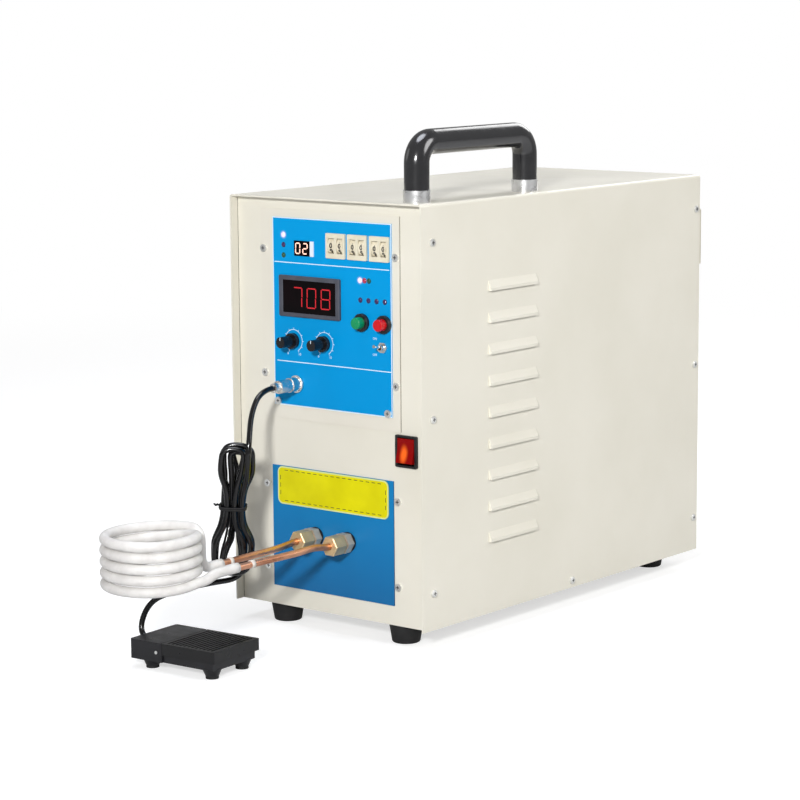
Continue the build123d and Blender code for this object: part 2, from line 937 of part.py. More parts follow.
with BuildPart() as indicator_leds:
    with BuildSketch(panel):
        with Locations(*led_spots):
            Circle(led_radius)
    extrude(amount=face + led_proud)
    with BuildSketch(panel):
        with Locations(*led_spots):
            Circle(led_flange_radius)
    extrude(amount=-1.0)
    fillet(indicator_leds.edges().group_by(Axis.Y)[0], 1.0)
indicator_leds.part.label = "indicator_leds"
export_step(indicator_leds.part, "parts/indicator_leds.step")

with BuildPart() as panel_bushings:
    with BuildSketch(panel.offset(face + bushing_proud)):
        with Locations((knob_left_x, knob_z), (knob_right_x, knob_z)):
            Circle(bushing_radius)
    extrude(amount=-face - bushing_proud)
    with BuildSketch(panel):
        with Locations((knob_left_x, knob_z), (knob_right_x, knob_z)):
            Circle(pot_radius)
    extrude(amount=-pot_depth)
    with BuildSketch(panel.offset(face + bushing_proud)):
        with Locations((knob_left_x, knob_z), (knob_right_x, knob_z)):
            Circle(knob_shaft + running_fit)
    extrude(amount=1.0 - pot_depth - face - bushing_proud, mode=Mode.SUBTRACT)
    with BuildSketch(panel.offset(face)):
        with Locations((toggle_x, toggle_z)):
            RegularPolygon(toggle_nut_radius, 6, major_radius=False)
    extrude(amount=toggle_nut_height)
    with BuildSketch(panel):
        with Locations((toggle_x, toggle_z)):
            Circle(toggle_bushing_radius)
    extrude(amount=face + toggle_proud)
    with BuildSketch(panel):
        with Locations((toggle_x, toggle_z)):
            Rectangle(toggle_body_width, toggle_body_height)
    extrude(amount=-toggle_body_depth)
    with BuildSketch(panel.offset(face + toggle_proud)):
        with Locations((toggle_x, toggle_z)):
            Circle(toggle_bore)
    extrude(amount=-face - toggle_proud - 2.0, mode=Mode.SUBTRACT)
panel_bushings.part.label = "panel_bushings"
export_step(panel_bushings.part, "parts/panel_bushings.step")

with BuildPart() as knob_left:
    knob_base = face + knob_lift
    with BuildSketch(panel.offset(knob_base)):
        with Locations((knob_left_x, knob_z)):
            Circle(knob_skirt_radius)
    extrude(amount=knob_skirt_top - knob_base)
    with BuildSketch(panel.offset(knob_skirt_top)):
        with Locations((knob_left_x, knob_z)):
            Circle(knob_grip_radius)
            with PolarLocations(knob_grip_radius, 18):
                Circle(0.35, mode=Mode.SUBTRACT)
    extrude(amount=knob_front - knob_skirt_top)
    with BuildSketch(panel.offset(knob_base)):
        with Locations((knob_left_x, knob_z)):
            Circle(bushing_radius + 0.7)
    extrude(amount=2.0, mode=Mode.SUBTRACT)
    with BuildSketch(panel.offset(knob_skirt_top)):
        with Locations((knob_left_x, knob_z)):
            Circle(knob_shaft)
    extrude(amount=-knob_skirt_top - pot_depth + 2.0)
knob_left.part.label = "knob_left"
export_step(knob_left.part, "parts/knob_left.step")

with BuildPart() as knob_right:
    with BuildSketch(panel.offset(knob_base)):
        with Locations((knob_right_x, knob_z)):
            Circle(knob_skirt_radius)
    extrude(amount=knob_skirt_top - knob_base)
    with BuildSketch(panel.offset(knob_skirt_top)):
        with Locations((knob_right_x, knob_z)):
            Circle(knob_grip_radius)
            with PolarLocations(knob_grip_radius, 18):
                Circle(0.35, mode=Mode.SUBTRACT)
    extrude(amount=knob_front - knob_skirt_top)
    with BuildSketch(panel.offset(knob_base)):
        with Locations((knob_right_x, knob_z)):
            Circle(bushing_radius + 0.7)
    extrude(amount=2.0, mode=Mode.SUBTRACT)
    with BuildSketch(panel.offset(knob_skirt_top)):
        with Locations((knob_right_x, knob_z)):
            Circle(knob_shaft)
    extrude(amount=-knob_skirt_top - pot_depth + 2.0)
knob_right.part.label = "knob_right"
export_step(knob_right.part, "parts/knob_right.step")

with BuildPart() as button_bezels:
    with BuildSketch(panel.offset(face)):
        with Locations((start_x, button_z), (stop_x, button_z)):
            Circle(button_ring_radius)
    extrude(amount=button_ring_proud)
    chamfer(button_bezels.edges().group_by(Axis.Y)[0], 0.8)
    with BuildSketch(panel.offset(face)):
        with Locations((start_x, button_z), (stop_x, button_z)):
            Circle(button_barrel_radius)
    extrude(amount=button_barrel_end - face)
    with BuildSketch(panel.offset(face + button_ring_proud)):
        with Locations((start_x, button_z), (stop_x, button_z)):
            Circle(button_cap_radius + running_fit)
    extrude(amount=button_cavity_top - face - button_ring_proud, mode=Mode.SUBTRACT)
    with BuildSketch(panel.offset(button_cavity_top)):
        with Locations((start_x, button_z), (stop_x, button_z)):
            Circle(button_cavity_radius)
    extrude(amount=button_cavity_floor - button_cavity_top, mode=Mode.SUBTRACT)
button_bezels.part.label = "button_bezels"
export_step(button_bezels.part, "parts/button_bezels.step")

with BuildPart() as start_button:
    with BuildSketch(panel.offset(button_front)):
        with Locations((start_x, button_z)):
            Circle(button_cap_radius)
    extrude(amount=button_cavity_top - 0.1 - button_front)
    fillet(start_button.edges().group_by(Axis.Y)[0], 0.8)
    with BuildSketch(panel.offset(button_cavity_top - 0.1)):
        with Locations((start_x, button_z)):
            Circle(button_flange_radius)
    extrude(amount=-button_flange_height)
start_button.part.label = "start_button"
export_step(start_button.part, "parts/start_button.step")

with BuildPart() as stop_button:
    with BuildSketch(panel.offset(button_front)):
        with Locations((stop_x, button_z)):
            Circle(button_cap_radius)
    extrude(amount=button_cavity_top - 0.1 - button_front)
    fillet(stop_button.edges().group_by(Axis.Y)[0], 0.8)
    with BuildSketch(panel.offset(button_cavity_top - 0.1)):
        with Locations((stop_x, button_z)):
            Circle(button_flange_radius)
    extrude(amount=-button_flange_height)
stop_button.part.label = "stop_button"
export_step(stop_button.part, "parts/stop_button.step")

toggle_angle = math.radians(toggle_tilt)
toggle_side = Plane(
    origin=(toggle_x, panel_y - toggle_pivot, foot_height + toggle_z),
    x_dir=(0, -math.cos(toggle_angle), math.sin(toggle_angle)),
    z_dir=(-1, 0, 0),
)

with BuildPart() as toggle_lever:
    with BuildSketch(toggle_side):
        with BuildLine():
            Polyline(
                (0, 0),
                (0, toggle_rod),
                (toggle_reach - 2, toggle_tip),
                (toggle_reach, toggle_tip),
                (toggle_reach, 0),
                close=True,
            )
        make_face()
    revolve(axis=Axis(toggle_side.origin, toggle_side.x_dir))
    with Locations(toggle_side.origin):
        Sphere(toggle_ball)
toggle_lever.part.label = "toggle_lever"
export_step(toggle_lever.part, "parts/toggle_lever.step")

with BuildPart() as panel_socket:
    with BuildSketch(panel.offset(face)):
        with Locations((socket_x, socket_z)):
            Circle(socket_ring_radius)
    extrude(amount=socket_ring_proud)
    with BuildSketch(panel.offset(face)):
        with Locations((socket_x, socket_z)):
            Circle(socket_body_radius)
    extrude(amount=-face - socket_body_depth)
    with BuildSketch(panel.offset(face)):
        with Locations((socket_x, socket_z)):
            Circle(socket_tube_radius)
    extrude(amount=socket_tube_end - face)
panel_socket.part.label = "panel_socket"
export_step(panel_socket.part, "parts/panel_socket.step")

with BuildPart() as cord_plug:
    plug_start = face + socket_ring_proud
    with BuildSketch(panel.offset(plug_start)):
        with Locations((socket_x, socket_z)):
            Circle(plug_radius)
            with PolarLocations(plug_radius, 24):
                Circle(0.3, mode=Mode.SUBTRACT)
    extrude(amount=10.0)
    with BuildSketch(panel.offset(plug_start + 10.0)):
        with Locations((socket_x, socket_z)):
            Circle(plug_radius - 0.8)
    extrude(amount=plug_shell_end - plug_start - 10.0)
    with BuildSketch(panel.offset(plug_shell_end)):
        with Locations((socket_x, socket_z)):
            Circle(plug_tail_radius)
    extrude(amount=plug_end - plug_shell_end)
    with BuildSketch(panel.offset(plug_start)):
        with Locations((socket_x, socket_z)):
            Circle(socket_tube_radius + running_fit)
    extrude(amount=socket_tube_end - plug_start + 0.4, mode=Mode.SUBTRACT)
cord_plug.part.label = "cord_plug"
export_step(cord_plug.part, "parts/cord_plug.step")

# Foot switch cord: the hank lies in a plane turned from the front panel
turn = math.radians(hank_turn)
hank_up = Vector(hank_lean, hank_lean, 1).normalized()
hank_across = Vector(math.cos(turn), math.sin(turn), 0)
hank_across = (hank_across - hank_up * hank_across.dot(hank_up)).normalized()
hank_toward = hank_across.cross(hank_up)
hank_centre = spot(hank_x, hank_ahead, hank_z)


def hank_point(across, up, toward):
    return hank_centre + hank_across * across + hank_up * up + hank_toward * toward


# How far in each run lies at the ends of the hank, in steps, and its place at the waist
run_depths = (0, 0.5, 1, 1.5, 1, 0.5, 0, 0.5, 1, 1.5, 1)
run_waists = (1.25, -0.75, 0.25, -0.25, 0.75, -1.25, 1.25, -0.75, 0.25, -0.25, 0.75)
run_layers = (0, 0, 0, 1, 1, 1, 2, 2, 2, 3, 3)
layer_depths = [(1.5 - layer) * hank_layer for layer in range(4)]
hank_start = hank_point(hank_entry_across, hank_top_reach, hank_entry_depth)

with BuildPart() as cord_hank:
    with BuildLine() as hank_line:
        for run in range(hank_runs):
            down = run % 2 == 0
            sign = 1 if down else -1
            way = hank_up * -sign
            layer = run_layers[run]
            before = run_layers[run - 1] if run else layer
            inward = run_depths[run] * hank_step
            top_across = sign * (hank_top_half - inward)
            low_across = sign * (hank_low_half - inward)
            first_depth = layer_depths[before]
            last_depth = layer_depths[layer]
            top = hank_point(top_across, hank_top_reach, first_depth if down else last_depth)
            if run == 0:
                top = hank_start
            low = hank_point(low_across, -hank_low_reach, last_depth if down else first_depth)
            waist = hank_point(run_waists[run] * hank_step, 0, last_depth)
            if down:
                add_biarc(top, way, waist, way)
                add_biarc(waist, way, low, way)
            else:
                add_biarc(low, way, waist, way)
                add_biarc(waist, way, top, way)
            if run == hank_runs - 1:
                break
            following = run_depths[run + 1] * hank_step
            if down:
                nearer = -(hank_low_half - following)
                end = hank_point(nearer, -hank_low_reach, last_depth)
                centre = (low + end) * 0.5
                deepest = centre - hank_up * ((low - end).length / 2)
                TangentArc(low, deepest, tangent=way)
                TangentArc(deepest, end, tangent=-hank_across)
            else:
                nearer = hank_top_half - following
                end = hank_point(nearer, hank_top_reach, last_depth)
                centre = (top + end) * 0.5
                highest = centre + hank_up * ((top - end).length / 2)
                TangentArc(top, highest, tangent=way)
                TangentArc(highest, end, tangent=hank_across)
    with BuildSketch(Plane(origin=hank_start, z_dir=-hank_up)):
        Circle(cord_radius)
    sweep()
report_tube("hank", hank_line.edges(), cord_hank.part.volume)
print("hank least gap", round(least_gap(hank_line.edges(), cord_radius, 1.5, 16.0), 2))
cord_hank.part.label = "cord_hank"
export_step(cord_hank.part, "parts/cord_hank.step")

upper_route = [
    spot(socket_x, plug_end - front_overhang, socket_z),
    spot(socket_x, plug_end - front_overhang + upper_lead, socket_z),
    spot(*upper_bend),
    hank_start + hank_up * upper_drop,
    hank_start,
]
upper_radii = bend_radii(upper_route)
print("upper cord radii", [round(radius, 1) for radius in upper_radii])

with BuildPart() as cord_upper:
    with BuildLine() as upper_line:
        FilletPolyline(*upper_route, radius=upper_radii)
    with BuildSketch(Plane(origin=upper_route[0], z_dir=(0, -1, 0))):
        Circle(cord_radius)
    sweep()
report_tube("upper cord", upper_line.edges(), cord_upper.part.volume)
cord_upper.part.label = "cord_upper"
export_step(cord_upper.part, "parts/cord_upper.step")

with BuildPart() as cord_tie:
    tie_across = 2 * (1.25 * hank_step + cord_radius + tie_gap)
    tie_depth = 2 * (1.5 * hank_layer + cord_radius + tie_gap)
    tie_corner = cord_radius + tie_gap
    with BuildSketch(Plane(origin=hank_centre, x_dir=hank_across, z_dir=hank_up)):
        RectangleRounded(
            tie_across + 2 * tie_thickness,
            tie_depth + 2 * tie_thickness,
            tie_corner + tie_thickness,
        )
        with Locations((-tie_across / 2, tie_depth / 4)):
            Rectangle(tie_tail, 2 * tie_thickness, align=(Align.MAX, Align.CENTER))
        RectangleRounded(tie_across, tie_depth, tie_corner, mode=Mode.SUBTRACT)
    extrude(amount=tie_height / 2, both=True)
cord_tie.part.label = "cord_tie"
export_step(cord_tie.part, "parts/cord_tie.step")

# Pedal: local x runs from its cord end to its toe, local y across it
pedal_angle = math.radians(pedal_turn)
pedal_way = Vector(math.cos(pedal_angle), math.sin(pedal_angle), 0)
pedal_cross = Vector(-math.sin(pedal_angle), math.cos(pedal_angle), 0)
pedal_origin = Vector(pedal_x, front - pedal_ahead, 0)
pedal = Plane(origin=pedal_origin, x_dir=pedal_way, z_dir=(0, 0, 1))
pedal_side = Plane(origin=pedal_origin, x_dir=pedal_way, z_dir=-pedal_cross)
pedal_back = -pedal_length / 2
pedal_toe = pedal_length / 2
housing_end = pedal_back + pedal_housing
pin_x = pedal_back + pin_back
tray_half = pedal_width / 2 - pedal_inset
tray_toe = pedal_toe - pedal_inset
floor_top = pedal_floor + pedal_floor_thickness


# Height of the pedal's top at a place along it
def pedal_top(x):
    return pedal_rear_height + pedal_rise * (x - pedal_back) / pedal_length


with BuildPart() as pedal_base:
    with BuildSketch(pedal_side):
        with BuildLine():
            Polyline(
                (pedal_back, pedal_floor),
                (housing_end, pedal_floor),
                (housing_end, pedal_top(housing_end)),
                (pedal_back, pedal_top(pedal_back)),
                close=True,
            )
        make_face()
    extrude(amount=pedal_width / 2, both=True)
    fillet(pedal_base.edges().filter_by(Axis.Z), 2.0)
    with BuildSketch(pedal.offset(pedal_floor)):
        with Locations(((housing_end + tray_toe) / 2 - 1.0, 0)):
            Rectangle(tray_toe - housing_end + 2.0, 2 * tray_half)
    extrude(amount=pedal_wall_top - pedal_floor)
    with BuildSketch(pedal_side):
        with BuildLine():
            Polyline(
                (pedal_back + pedal_wall, floor_top),
                (tray_toe - pedal_wall, floor_top),
                (tray_toe - pedal_wall, pedal_wall_top),
                (housing_end, pedal_wall_top),
                (housing_end, pedal_top(housing_end) - pedal_wall),
                (pedal_back + pedal_wall, pedal_top(pedal_back) - pedal_wall),
                close=True,
            )
        make_face()
    extrude(amount=tray_half - pedal_wall, both=True, mode=Mode.SUBTRACT)
    for leg_x in (leg_rear_x, leg_front_x):
        for way in (1, -1):
            with Locations(pedal.offset(pad_height) * Pos(leg_x, way * leg_y, 0)):
                Cone(
                    leg_low,
                    leg_top,
                    pedal_floor - pad_height + 0.5,
                    align=(Align.CENTER, Align.CENTER, Align.MIN),
                )
    with BuildSketch(pedal_side):
        with Locations((pin_x, pin_height)):
            Circle(pin_radius + running_fit)
    extrude(amount=pedal_width, both=True, mode=Mode.SUBTRACT)
pedal_base.part.label = "pedal_base"
export_step(pedal_base.part, "parts/pedal_base.step")

with BuildPart() as pedal_feet:
    with BuildSketch(pedal):
        with Locations(
            (leg_rear_x, leg_y),
            (leg_rear_x, -leg_y),
            (leg_front_x, leg_y),
            (leg_front_x, -leg_y),
        ):
            Circle(pad_radius)
    extrude(amount=pad_height)
pedal_feet.part.label = "pedal_feet"
export_step(pedal_feet.part, "parts/pedal_feet.step")

with BuildPart() as pedal_pin:
    with BuildSketch(pedal_side):
        with Locations((pin_x, pin_height)):
            Circle(pin_radius)
    extrude(amount=pedal_width / 2 + pin_proud, both=True)
pedal_pin.part.label = "pedal_pin"
export_step(pedal_pin.part, "parts/pedal_pin.step")

with BuildPart() as treadle:
    treadle_back = housing_end + pedal_gap
    with BuildSketch(pedal_side):
        with BuildLine():
            Polyline(
                (treadle_back, pedal_top(treadle_back) - treadle_skirt),
                (pedal_toe, pedal_top(pedal_toe) - treadle_skirt),
                (pedal_toe, pedal_top(pedal_toe)),
                (treadle_back, pedal_top(treadle_back)),
                close=True,
            )
        make_face()
    extrude(amount=pedal_width / 2, both=True)
    fillet(treadle.edges().filter_by(Axis.Z).group_by(Axis.X)[-1], 2.0)
    with BuildSketch(pedal_side):
        with BuildLine():
            Polyline(
                (treadle_back - 1, pedal_floor),
                (pedal_toe - treadle_skirt_wall, pedal_floor),
                (pedal_toe - treadle_skirt_wall, pedal_top(pedal_toe) - treadle_plate),
                (treadle_back - 1, pedal_top(treadle_back - 1) - treadle_plate),
                close=True,
            )
        make_face()
    extrude(amount=pedal_width / 2 - treadle_skirt_wall, both=True, mode=Mode.SUBTRACT)
    rib_pitch = (pedal_toe - treadle_back - 6.0) / treadle_ribs
    with BuildSketch(pedal_side):
        for rib in range(treadle_ribs):
            rib_x = treadle_back + 3.0 + rib_pitch * (rib + 0.5)
            with Locations((rib_x, pedal_top(rib_x))):
                Rectangle(rib_pitch / 2, 2 * treadle_lip)
    extrude(amount=pedal_width / 2 - 3.5, both=True, mode=Mode.SUBTRACT)
    for way in (1, -1):
        arm_plane = Plane(
            origin=pedal_origin + pedal_cross * (way * arm_y),
            x_dir=pedal_way,
            z_dir=-pedal_cross,
        )
        with BuildSketch(arm_plane):
            with BuildLine():
                Polyline(
                    (pin_x, pin_height - arm_radius),
                    (treadle_back + 1.0, pin_height - 1.5),
                    (treadle_back + 12.0, pedal_top(0) - treadle_plate - 3.0),
                    (treadle_back + 12.0, pedal_top(0) - treadle_plate + 0.5),
                    (treadle_back + 1.5, pedal_top(treadle_back) - treadle_plate + 0.8),
                    (treadle_back + 0.2, pin_height + arm_radius),
                    (pin_x, pin_height + arm_radius),
                    close=True,
                )
            make_face()
            with Locations((pin_x, pin_height)):
                Circle(arm_radius)
        extrude(amount=arm_width / 2, both=True)
    with BuildSketch(pedal_side):
        with Locations((pin_x, pin_height)):
            Circle(pin_radius + running_fit)
    extrude(amount=pedal_width, both=True, mode=Mode.SUBTRACT)
treadle.part.label = "treadle"
export_step(treadle.part, "parts/treadle.step")

with BuildPart() as treadle_spring:
    spring_top = pedal_top(spring_x) - treadle_plate - spring_gap
    spring_rise = spring_top - floor_top - 2 * spring_wire
    spring_centre = pedal_origin + pedal_way * spring_x
    spring_spots = []
    spring_ways = []
    for quarter in range(spring_quarters + 1):
        angle = quarter * math.pi / 2
        height = floor_top + spring_wire + spring_rise * quarter / spring_quarters
        outward = Vector(math.cos(angle), math.sin(angle), 0)
        along = Vector(-math.sin(angle), math.cos(angle), 0)
        climb = Vector(0, 0, spring_rise / (spring_quarters * math.pi / 2))
        spring_spots.append(spring_centre + outward * spring_radius + Vector(0, 0, height))
        spring_ways.append((along * spring_radius + climb).normalized())
    with BuildLine() as spring_line:
        for quarter in range(spring_quarters):
            add_biarc(
                spring_spots[quarter],
                spring_ways[quarter],
                spring_spots[quarter + 1],
                spring_ways[quarter + 1],
            )
    with BuildSketch(Plane(origin=spring_spots[0], z_dir=spring_ways[0])):
        Circle(spring_wire)
    sweep()
treadle_spring.part.label = "treadle_spring"
export_step(treadle_spring.part, "parts/treadle_spring.step")

with BuildPart() as pedal_switch:
    with BuildSketch(pedal.offset(floor_top)):
        with Locations((4.0, 12.0)):
            Rectangle(switch_length, switch_width)
    extrude(amount=switch_height)
pedal_switch.part.label = "pedal_switch"
export_step(pedal_switch.part, "parts/pedal_switch.step")

bush_start = pedal_origin + pedal_way * pedal_back + pedal_cross * bush_y + Vector(0, 0, bush_z)

with BuildPart() as cord_bush:
    with BuildSketch(Plane(origin=bush_start, z_dir=-pedal_way)):
        Circle(bush_radius)
        Circle(cord_radius + running_fit, mode=Mode.SUBTRACT)
    extrude(amount=bush_length)
cord_bush.part.label = "cord_bush"
export_step(cord_bush.part, "parts/cord_bush.step")

# The last run of the hank goes down, and the cord turns under the hank to the pedal
hank_end = hank_point(hank_low_half - hank_step, -hank_low_reach, layer_depths[3])
lower_route = [
    hank_end,
    hank_end - hank_up * lower_drop,
    *[spot(*bend) for bend in lower_bends],
    bush_start - pedal_way * bush_lead,
    bush_start,
]
lower_radii = bend_radii(lower_route)
for corner in (0, 3, 4):
    lower_radii[corner] = 6 * cord_radius
print("lower cord radii", [round(radius, 1) for radius in lower_radii])

with BuildPart() as cord_lower:
    with BuildLine() as lower_line:
        FilletPolyline(*lower_route, radius=lower_radii)
    with BuildSketch(Plane(origin=hank_end, z_dir=-hank_up)):
        Circle(cord_radius)
    sweep()
report_tube("lower cord", lower_line.edges(), cord_lower.part.volume)
cord_lower.part.label = "cord_lower"
export_step(cord_lower.part, "parts/cord_lower.step")

with BuildPart() as bulkheads:
    with BuildSketch(panel.offset(tube_rear)):
        with Locations((fitting_x, fitting_z), (-fitting_x, fitting_z)):
            Circle(tube_radius)
    extrude(amount=tube_front - tube_rear)
    with BuildSketch(panel.offset(plate_thickness + grommet_thickness)):
        with Locations((fitting_x, fitting_z), (-fitting_x, fitting_z)):
            RegularPolygon(collar_flats / 2, 6, major_radius=False)
    extrude(amount=collar_length)
    with BuildSketch(panel.offset(-sheet)):
        with Locations((fitting_x, fitting_z), (-fitting_x, fitting_z)):
            RegularPolygon(back_nut_flats / 2, 6, major_radius=False)
    extrude(amount=-back_nut_length)
    with BuildSketch(panel.offset(tube_front)):
        with Locations((fitting_x, fitting_z), (-fitting_x, fitting_z)):
            Circle(pipe_bore)
    extrude(amount=tube_rear - tube_front, mode=Mode.SUBTRACT)
bulkheads.part.label = "bulkheads"
export_step(bulkheads.part, "parts/bulkheads.step")

with BuildPart() as grommets:
    with BuildSketch(panel.offset(plate_thickness)):
        with Locations((fitting_x, fitting_z), (-fitting_x, fitting_z)):
            Circle(grommet_radius)
            Circle(tube_radius + running_fit, mode=Mode.SUBTRACT)
    extrude(amount=grommet_thickness)
grommets.part.label = "grommets"
export_step(grommets.part, "parts/grommets.step")

with BuildPart() as pipe_nuts:
    with BuildSketch(panel.offset(nut_back)):
        with Locations((fitting_x, fitting_z), (-fitting_x, fitting_z)):
            RegularPolygon(nut_flats / 2, 6, major_radius=False)
    extrude(amount=nut_front - nut_back)
    chamfer(pipe_nuts.edges().group_by(Axis.Y)[0], 0.8)
    with BuildSketch(panel.offset(nut_back)):
        with Locations((fitting_x, fitting_z), (-fitting_x, fitting_z)):
            Circle(tube_radius + running_fit)
    extrude(amount=tube_front - nut_back, mode=Mode.SUBTRACT)
    with BuildSketch(panel.offset(nut_back)):
        with Locations((fitting_x, fitting_z), (-fitting_x, fitting_z)):
            Circle(pipe_radius + running_fit)
    extrude(amount=nut_front - nut_back, mode=Mode.SUBTRACT)
pipe_nuts.part.label = "pipe_nuts"
export_step(pipe_nuts.part, "parts/pipe_nuts.step")

# The winding: from its lead at the right, up the helix, out at its top and down the riser
pipe_ahead = tube_front - front_overhang
lead_end = spot(lead_x, lead_ahead, lead_z)
lead_low = spot(lead_x, lead_low_ahead, lead_low_z)
riser_end = spot(riser_x, riser_ahead - riser_bend, return_z)
forward = Vector(0, -1, 0)


# The turns climb evenly, dip a little in front and rise in a hump at the side of the pipes
def coil_spot(degrees):
    angle = math.radians(degrees)
    lift = coil_lift * (1 - math.cos(angle - math.radians(coil_phase)))
    share = (1 + math.cos(angle - math.radians(coil_hump_phase))) / 2
    height = coil_height + coil_pitch * (degrees - coil_phase) / 360 - lift
    return spot(
        coil_x + coil_radius * math.cos(angle),
        coil_ahead + coil_radius * math.sin(angle),
        height + coil_hump * share**4,
    )


def coil_way(degrees):
    angle = math.radians(degrees)
    past_hump = angle - math.radians(coil_hump_phase)
    share = (1 + math.cos(past_hump)) / 2
    climb = coil_pitch / (2 * math.pi)
    climb -= coil_lift * math.sin(angle - math.radians(coil_phase))
    climb -= 2 * coil_hump * share**3 * math.sin(past_hump)
    return Vector(
        -coil_radius * math.sin(angle), -coil_radius * math.cos(angle), climb
    ).normalized()


def add_winding():
    add_biarc(lead_end, forward, lead_low, forward)
    add_biarc(lead_low, forward, coil_spot(0), coil_way(0))
    for quarter in range(coil_quarters):
        begin = 90.0 * quarter
        add_biarc(coil_spot(begin), coil_way(begin), coil_spot(begin + 90), coil_way(begin + 90))
    last = 90.0 * coil_quarters
    flare_end = spot(riser_x - riser_bend, riser_ahead, riser_top)
    riser_start = spot(riser_x, riser_ahead, riser_top - riser_bend)
    riser_low = spot(riser_x, riser_ahead, return_z + riser_bend)
    add_biarc(coil_spot(last), coil_way(last), flare_end, Vector(1, 0, 0))
    TangentArc(flare_end, riser_start, tangent=(1, 0, 0))
    Line(riser_start, riser_low)
    TangentArc(riser_low, riser_end, tangent=(0, 0, -1))


lead_route = [
    spot(fitting_x, pipe_ahead, fitting_z),
    spot(fitting_x, pipe_ahead + pipe_stub, fitting_z),
    *[spot(*bend) for bend in lead_bends],
    spot(lead_x, lead_ahead - 10, lead_z),
    lead_end,
]
return_route = [
    riser_end,
    spot(riser_x, riser_ahead - riser_bend - 10, return_z),
    spot(*return_bend),
    spot(-fitting_x, pipe_ahead + pipe_stub, fitting_z),
    spot(-fitting_x, pipe_ahead, fitting_z),
]


# The place on a straight run that lies a given distance ahead of the cover
def place_on(first, second, ahead):
    share = (front - ahead - first.Y) / (second.Y - first.Y)
    return first + (second - first) * share


with BuildPart() as work_coil:
    with BuildLine() as coil_line:
        FilletPolyline(*lead_route, radius=bend_radii(lead_route))
        add_winding()
        FilletPolyline(*return_route, radius=bend_radii(return_route))
    with BuildSketch(Plane(origin=lead_route[0], z_dir=(0, -1, 0))):
        Circle(pipe_radius)
        Circle(pipe_bore, mode=Mode.SUBTRACT)
    sweep()
print("work coil length", round(sum(edge.length for edge in coil_line.edges()), 1))
work_coil.part.label = "work_coil"
export_step(work_coil.part, "parts/work_coil.step")

sleeve_start = place_on(lead_route[-3], lead_route[-2], sleeve_start_ahead)
sleeve_end = place_on(return_route[1], return_route[2], sleeve_end_ahead)
lead_bend = bend_radii(lead_route)[-1]
return_bend_radius = bend_radii(return_route)[0]

with BuildPart() as coil_sleeve:
    with BuildLine() as sleeve_line:
        FilletPolyline(sleeve_start, lead_route[-2], lead_end, radius=lead_bend)
        add_winding()
        FilletPolyline(riser_end, return_route[1], sleeve_end, radius=return_bend_radius)
    with BuildSketch(Plane(origin=sleeve_start, z_dir=lead_route[-2] - sleeve_start)):
        Circle(sleeve_radius)
    sweep(path=sleeve_line.wire())
    with BuildSketch(Plane(origin=sleeve_start, z_dir=lead_route[-2] - sleeve_start)):
        Circle(pipe_radius + sleeve_fit)
    sweep(path=sleeve_line.wire(), mode=Mode.SUBTRACT)
sleeve_edges = sleeve_line.wire().order_edges()
print("coil sleeve volume", round(coil_sleeve.part.volume, 1))
print("coil sleeve least gap", round(least_gap(sleeve_edges, sleeve_radius, 1.5, 40.0), 2))
coil_sleeve.part.label = "coil_sleeve"
export_step(coil_sleeve.part, "parts/coil_sleeve.step")

with BuildPart() as fan_frame:
    with BuildSketch(rear.offset(sheet)):
        with Locations((fan_x, fan_z)):
            RectangleRounded(fan_size, fan_size, 6.0)
            Circle(fan_opening, mode=Mode.SUBTRACT)
    extrude(amount=fan_depth)
    with BuildSketch(rear.offset(sheet + fan_depth)):
        with Locations((fan_x, fan_z)):
            Circle(fan_hub)
            with PolarLocations(fan_opening / 2 + 1, 3):
                Rectangle(fan_opening, fan_strut_width)
    extrude(amount=-fan_strut)
    with BuildSketch(rear.offset(sheet + fan_depth - fan_strut)):
        with Locations((fan_x, fan_z)):
            Circle(fan_shaft)
    extrude(amount=-fan_stub)
fan_frame.part.label = "fan_frame"
export_step(fan_frame.part, "parts/fan_frame.step")

with BuildPart() as fan_rotor:
    rotor_face = sheet + fan_depth - fan_strut - fan_end_gap
    with BuildSketch(rear.offset(rotor_face)):
        with Locations((fan_x, fan_z)):
            Circle(fan_hub - 1)
    extrude(amount=-fan_hub_length)
    with Locations(rear.offset(sheet + fan_depth - fan_blade_middle) * Pos(fan_x, fan_z, 0)):
        with PolarLocations((fan_hub + fan_blade_radius) / 2 - 1, fan_blades):
            Box(fan_blade_radius - fan_hub + 2, fan_blade_chord, fan_blade_thick, rotation=(30, 0, 0))
    with BuildSketch(rear.offset(rotor_face)):
        with Locations((fan_x, fan_z)):
            Circle(fan_shaft + running_fit)
    extrude(amount=-fan_stub, mode=Mode.SUBTRACT)
fan_rotor.part.label = "fan_rotor"
export_step(fan_rotor.part, "parts/fan_rotor.step")

with BuildPart() as fan_guard:
    guard_corner = (fan_size / 2 - 7.5) * math.sqrt(2)
    with BuildSketch(rear):
        with Locations((fan_x, fan_z)):
            Rectangle(2 * guard_corner, guard_wire, rotation=45)
            Rectangle(2 * guard_corner, guard_wire, rotation=-45)
            with PolarLocations(guard_corner, 4, start_angle=45):
                Circle(5.0)
    extrude(amount=-guard_wire)
    with BuildSketch(rear.offset(-guard_wire)):
        for ring in range(4, 0, -1):
            ring_radius = ring * fan_opening / 4 - 1.0
            with Locations((fan_x, fan_z)):
                Circle(ring_radius + guard_wire / 2)
                Circle(ring_radius - guard_wire / 2, mode=Mode.SUBTRACT)
    extrude(amount=-guard_wire)
fan_guard.part.label = "fan_guard"
export_step(fan_guard.part, "parts/fan_guard.step")

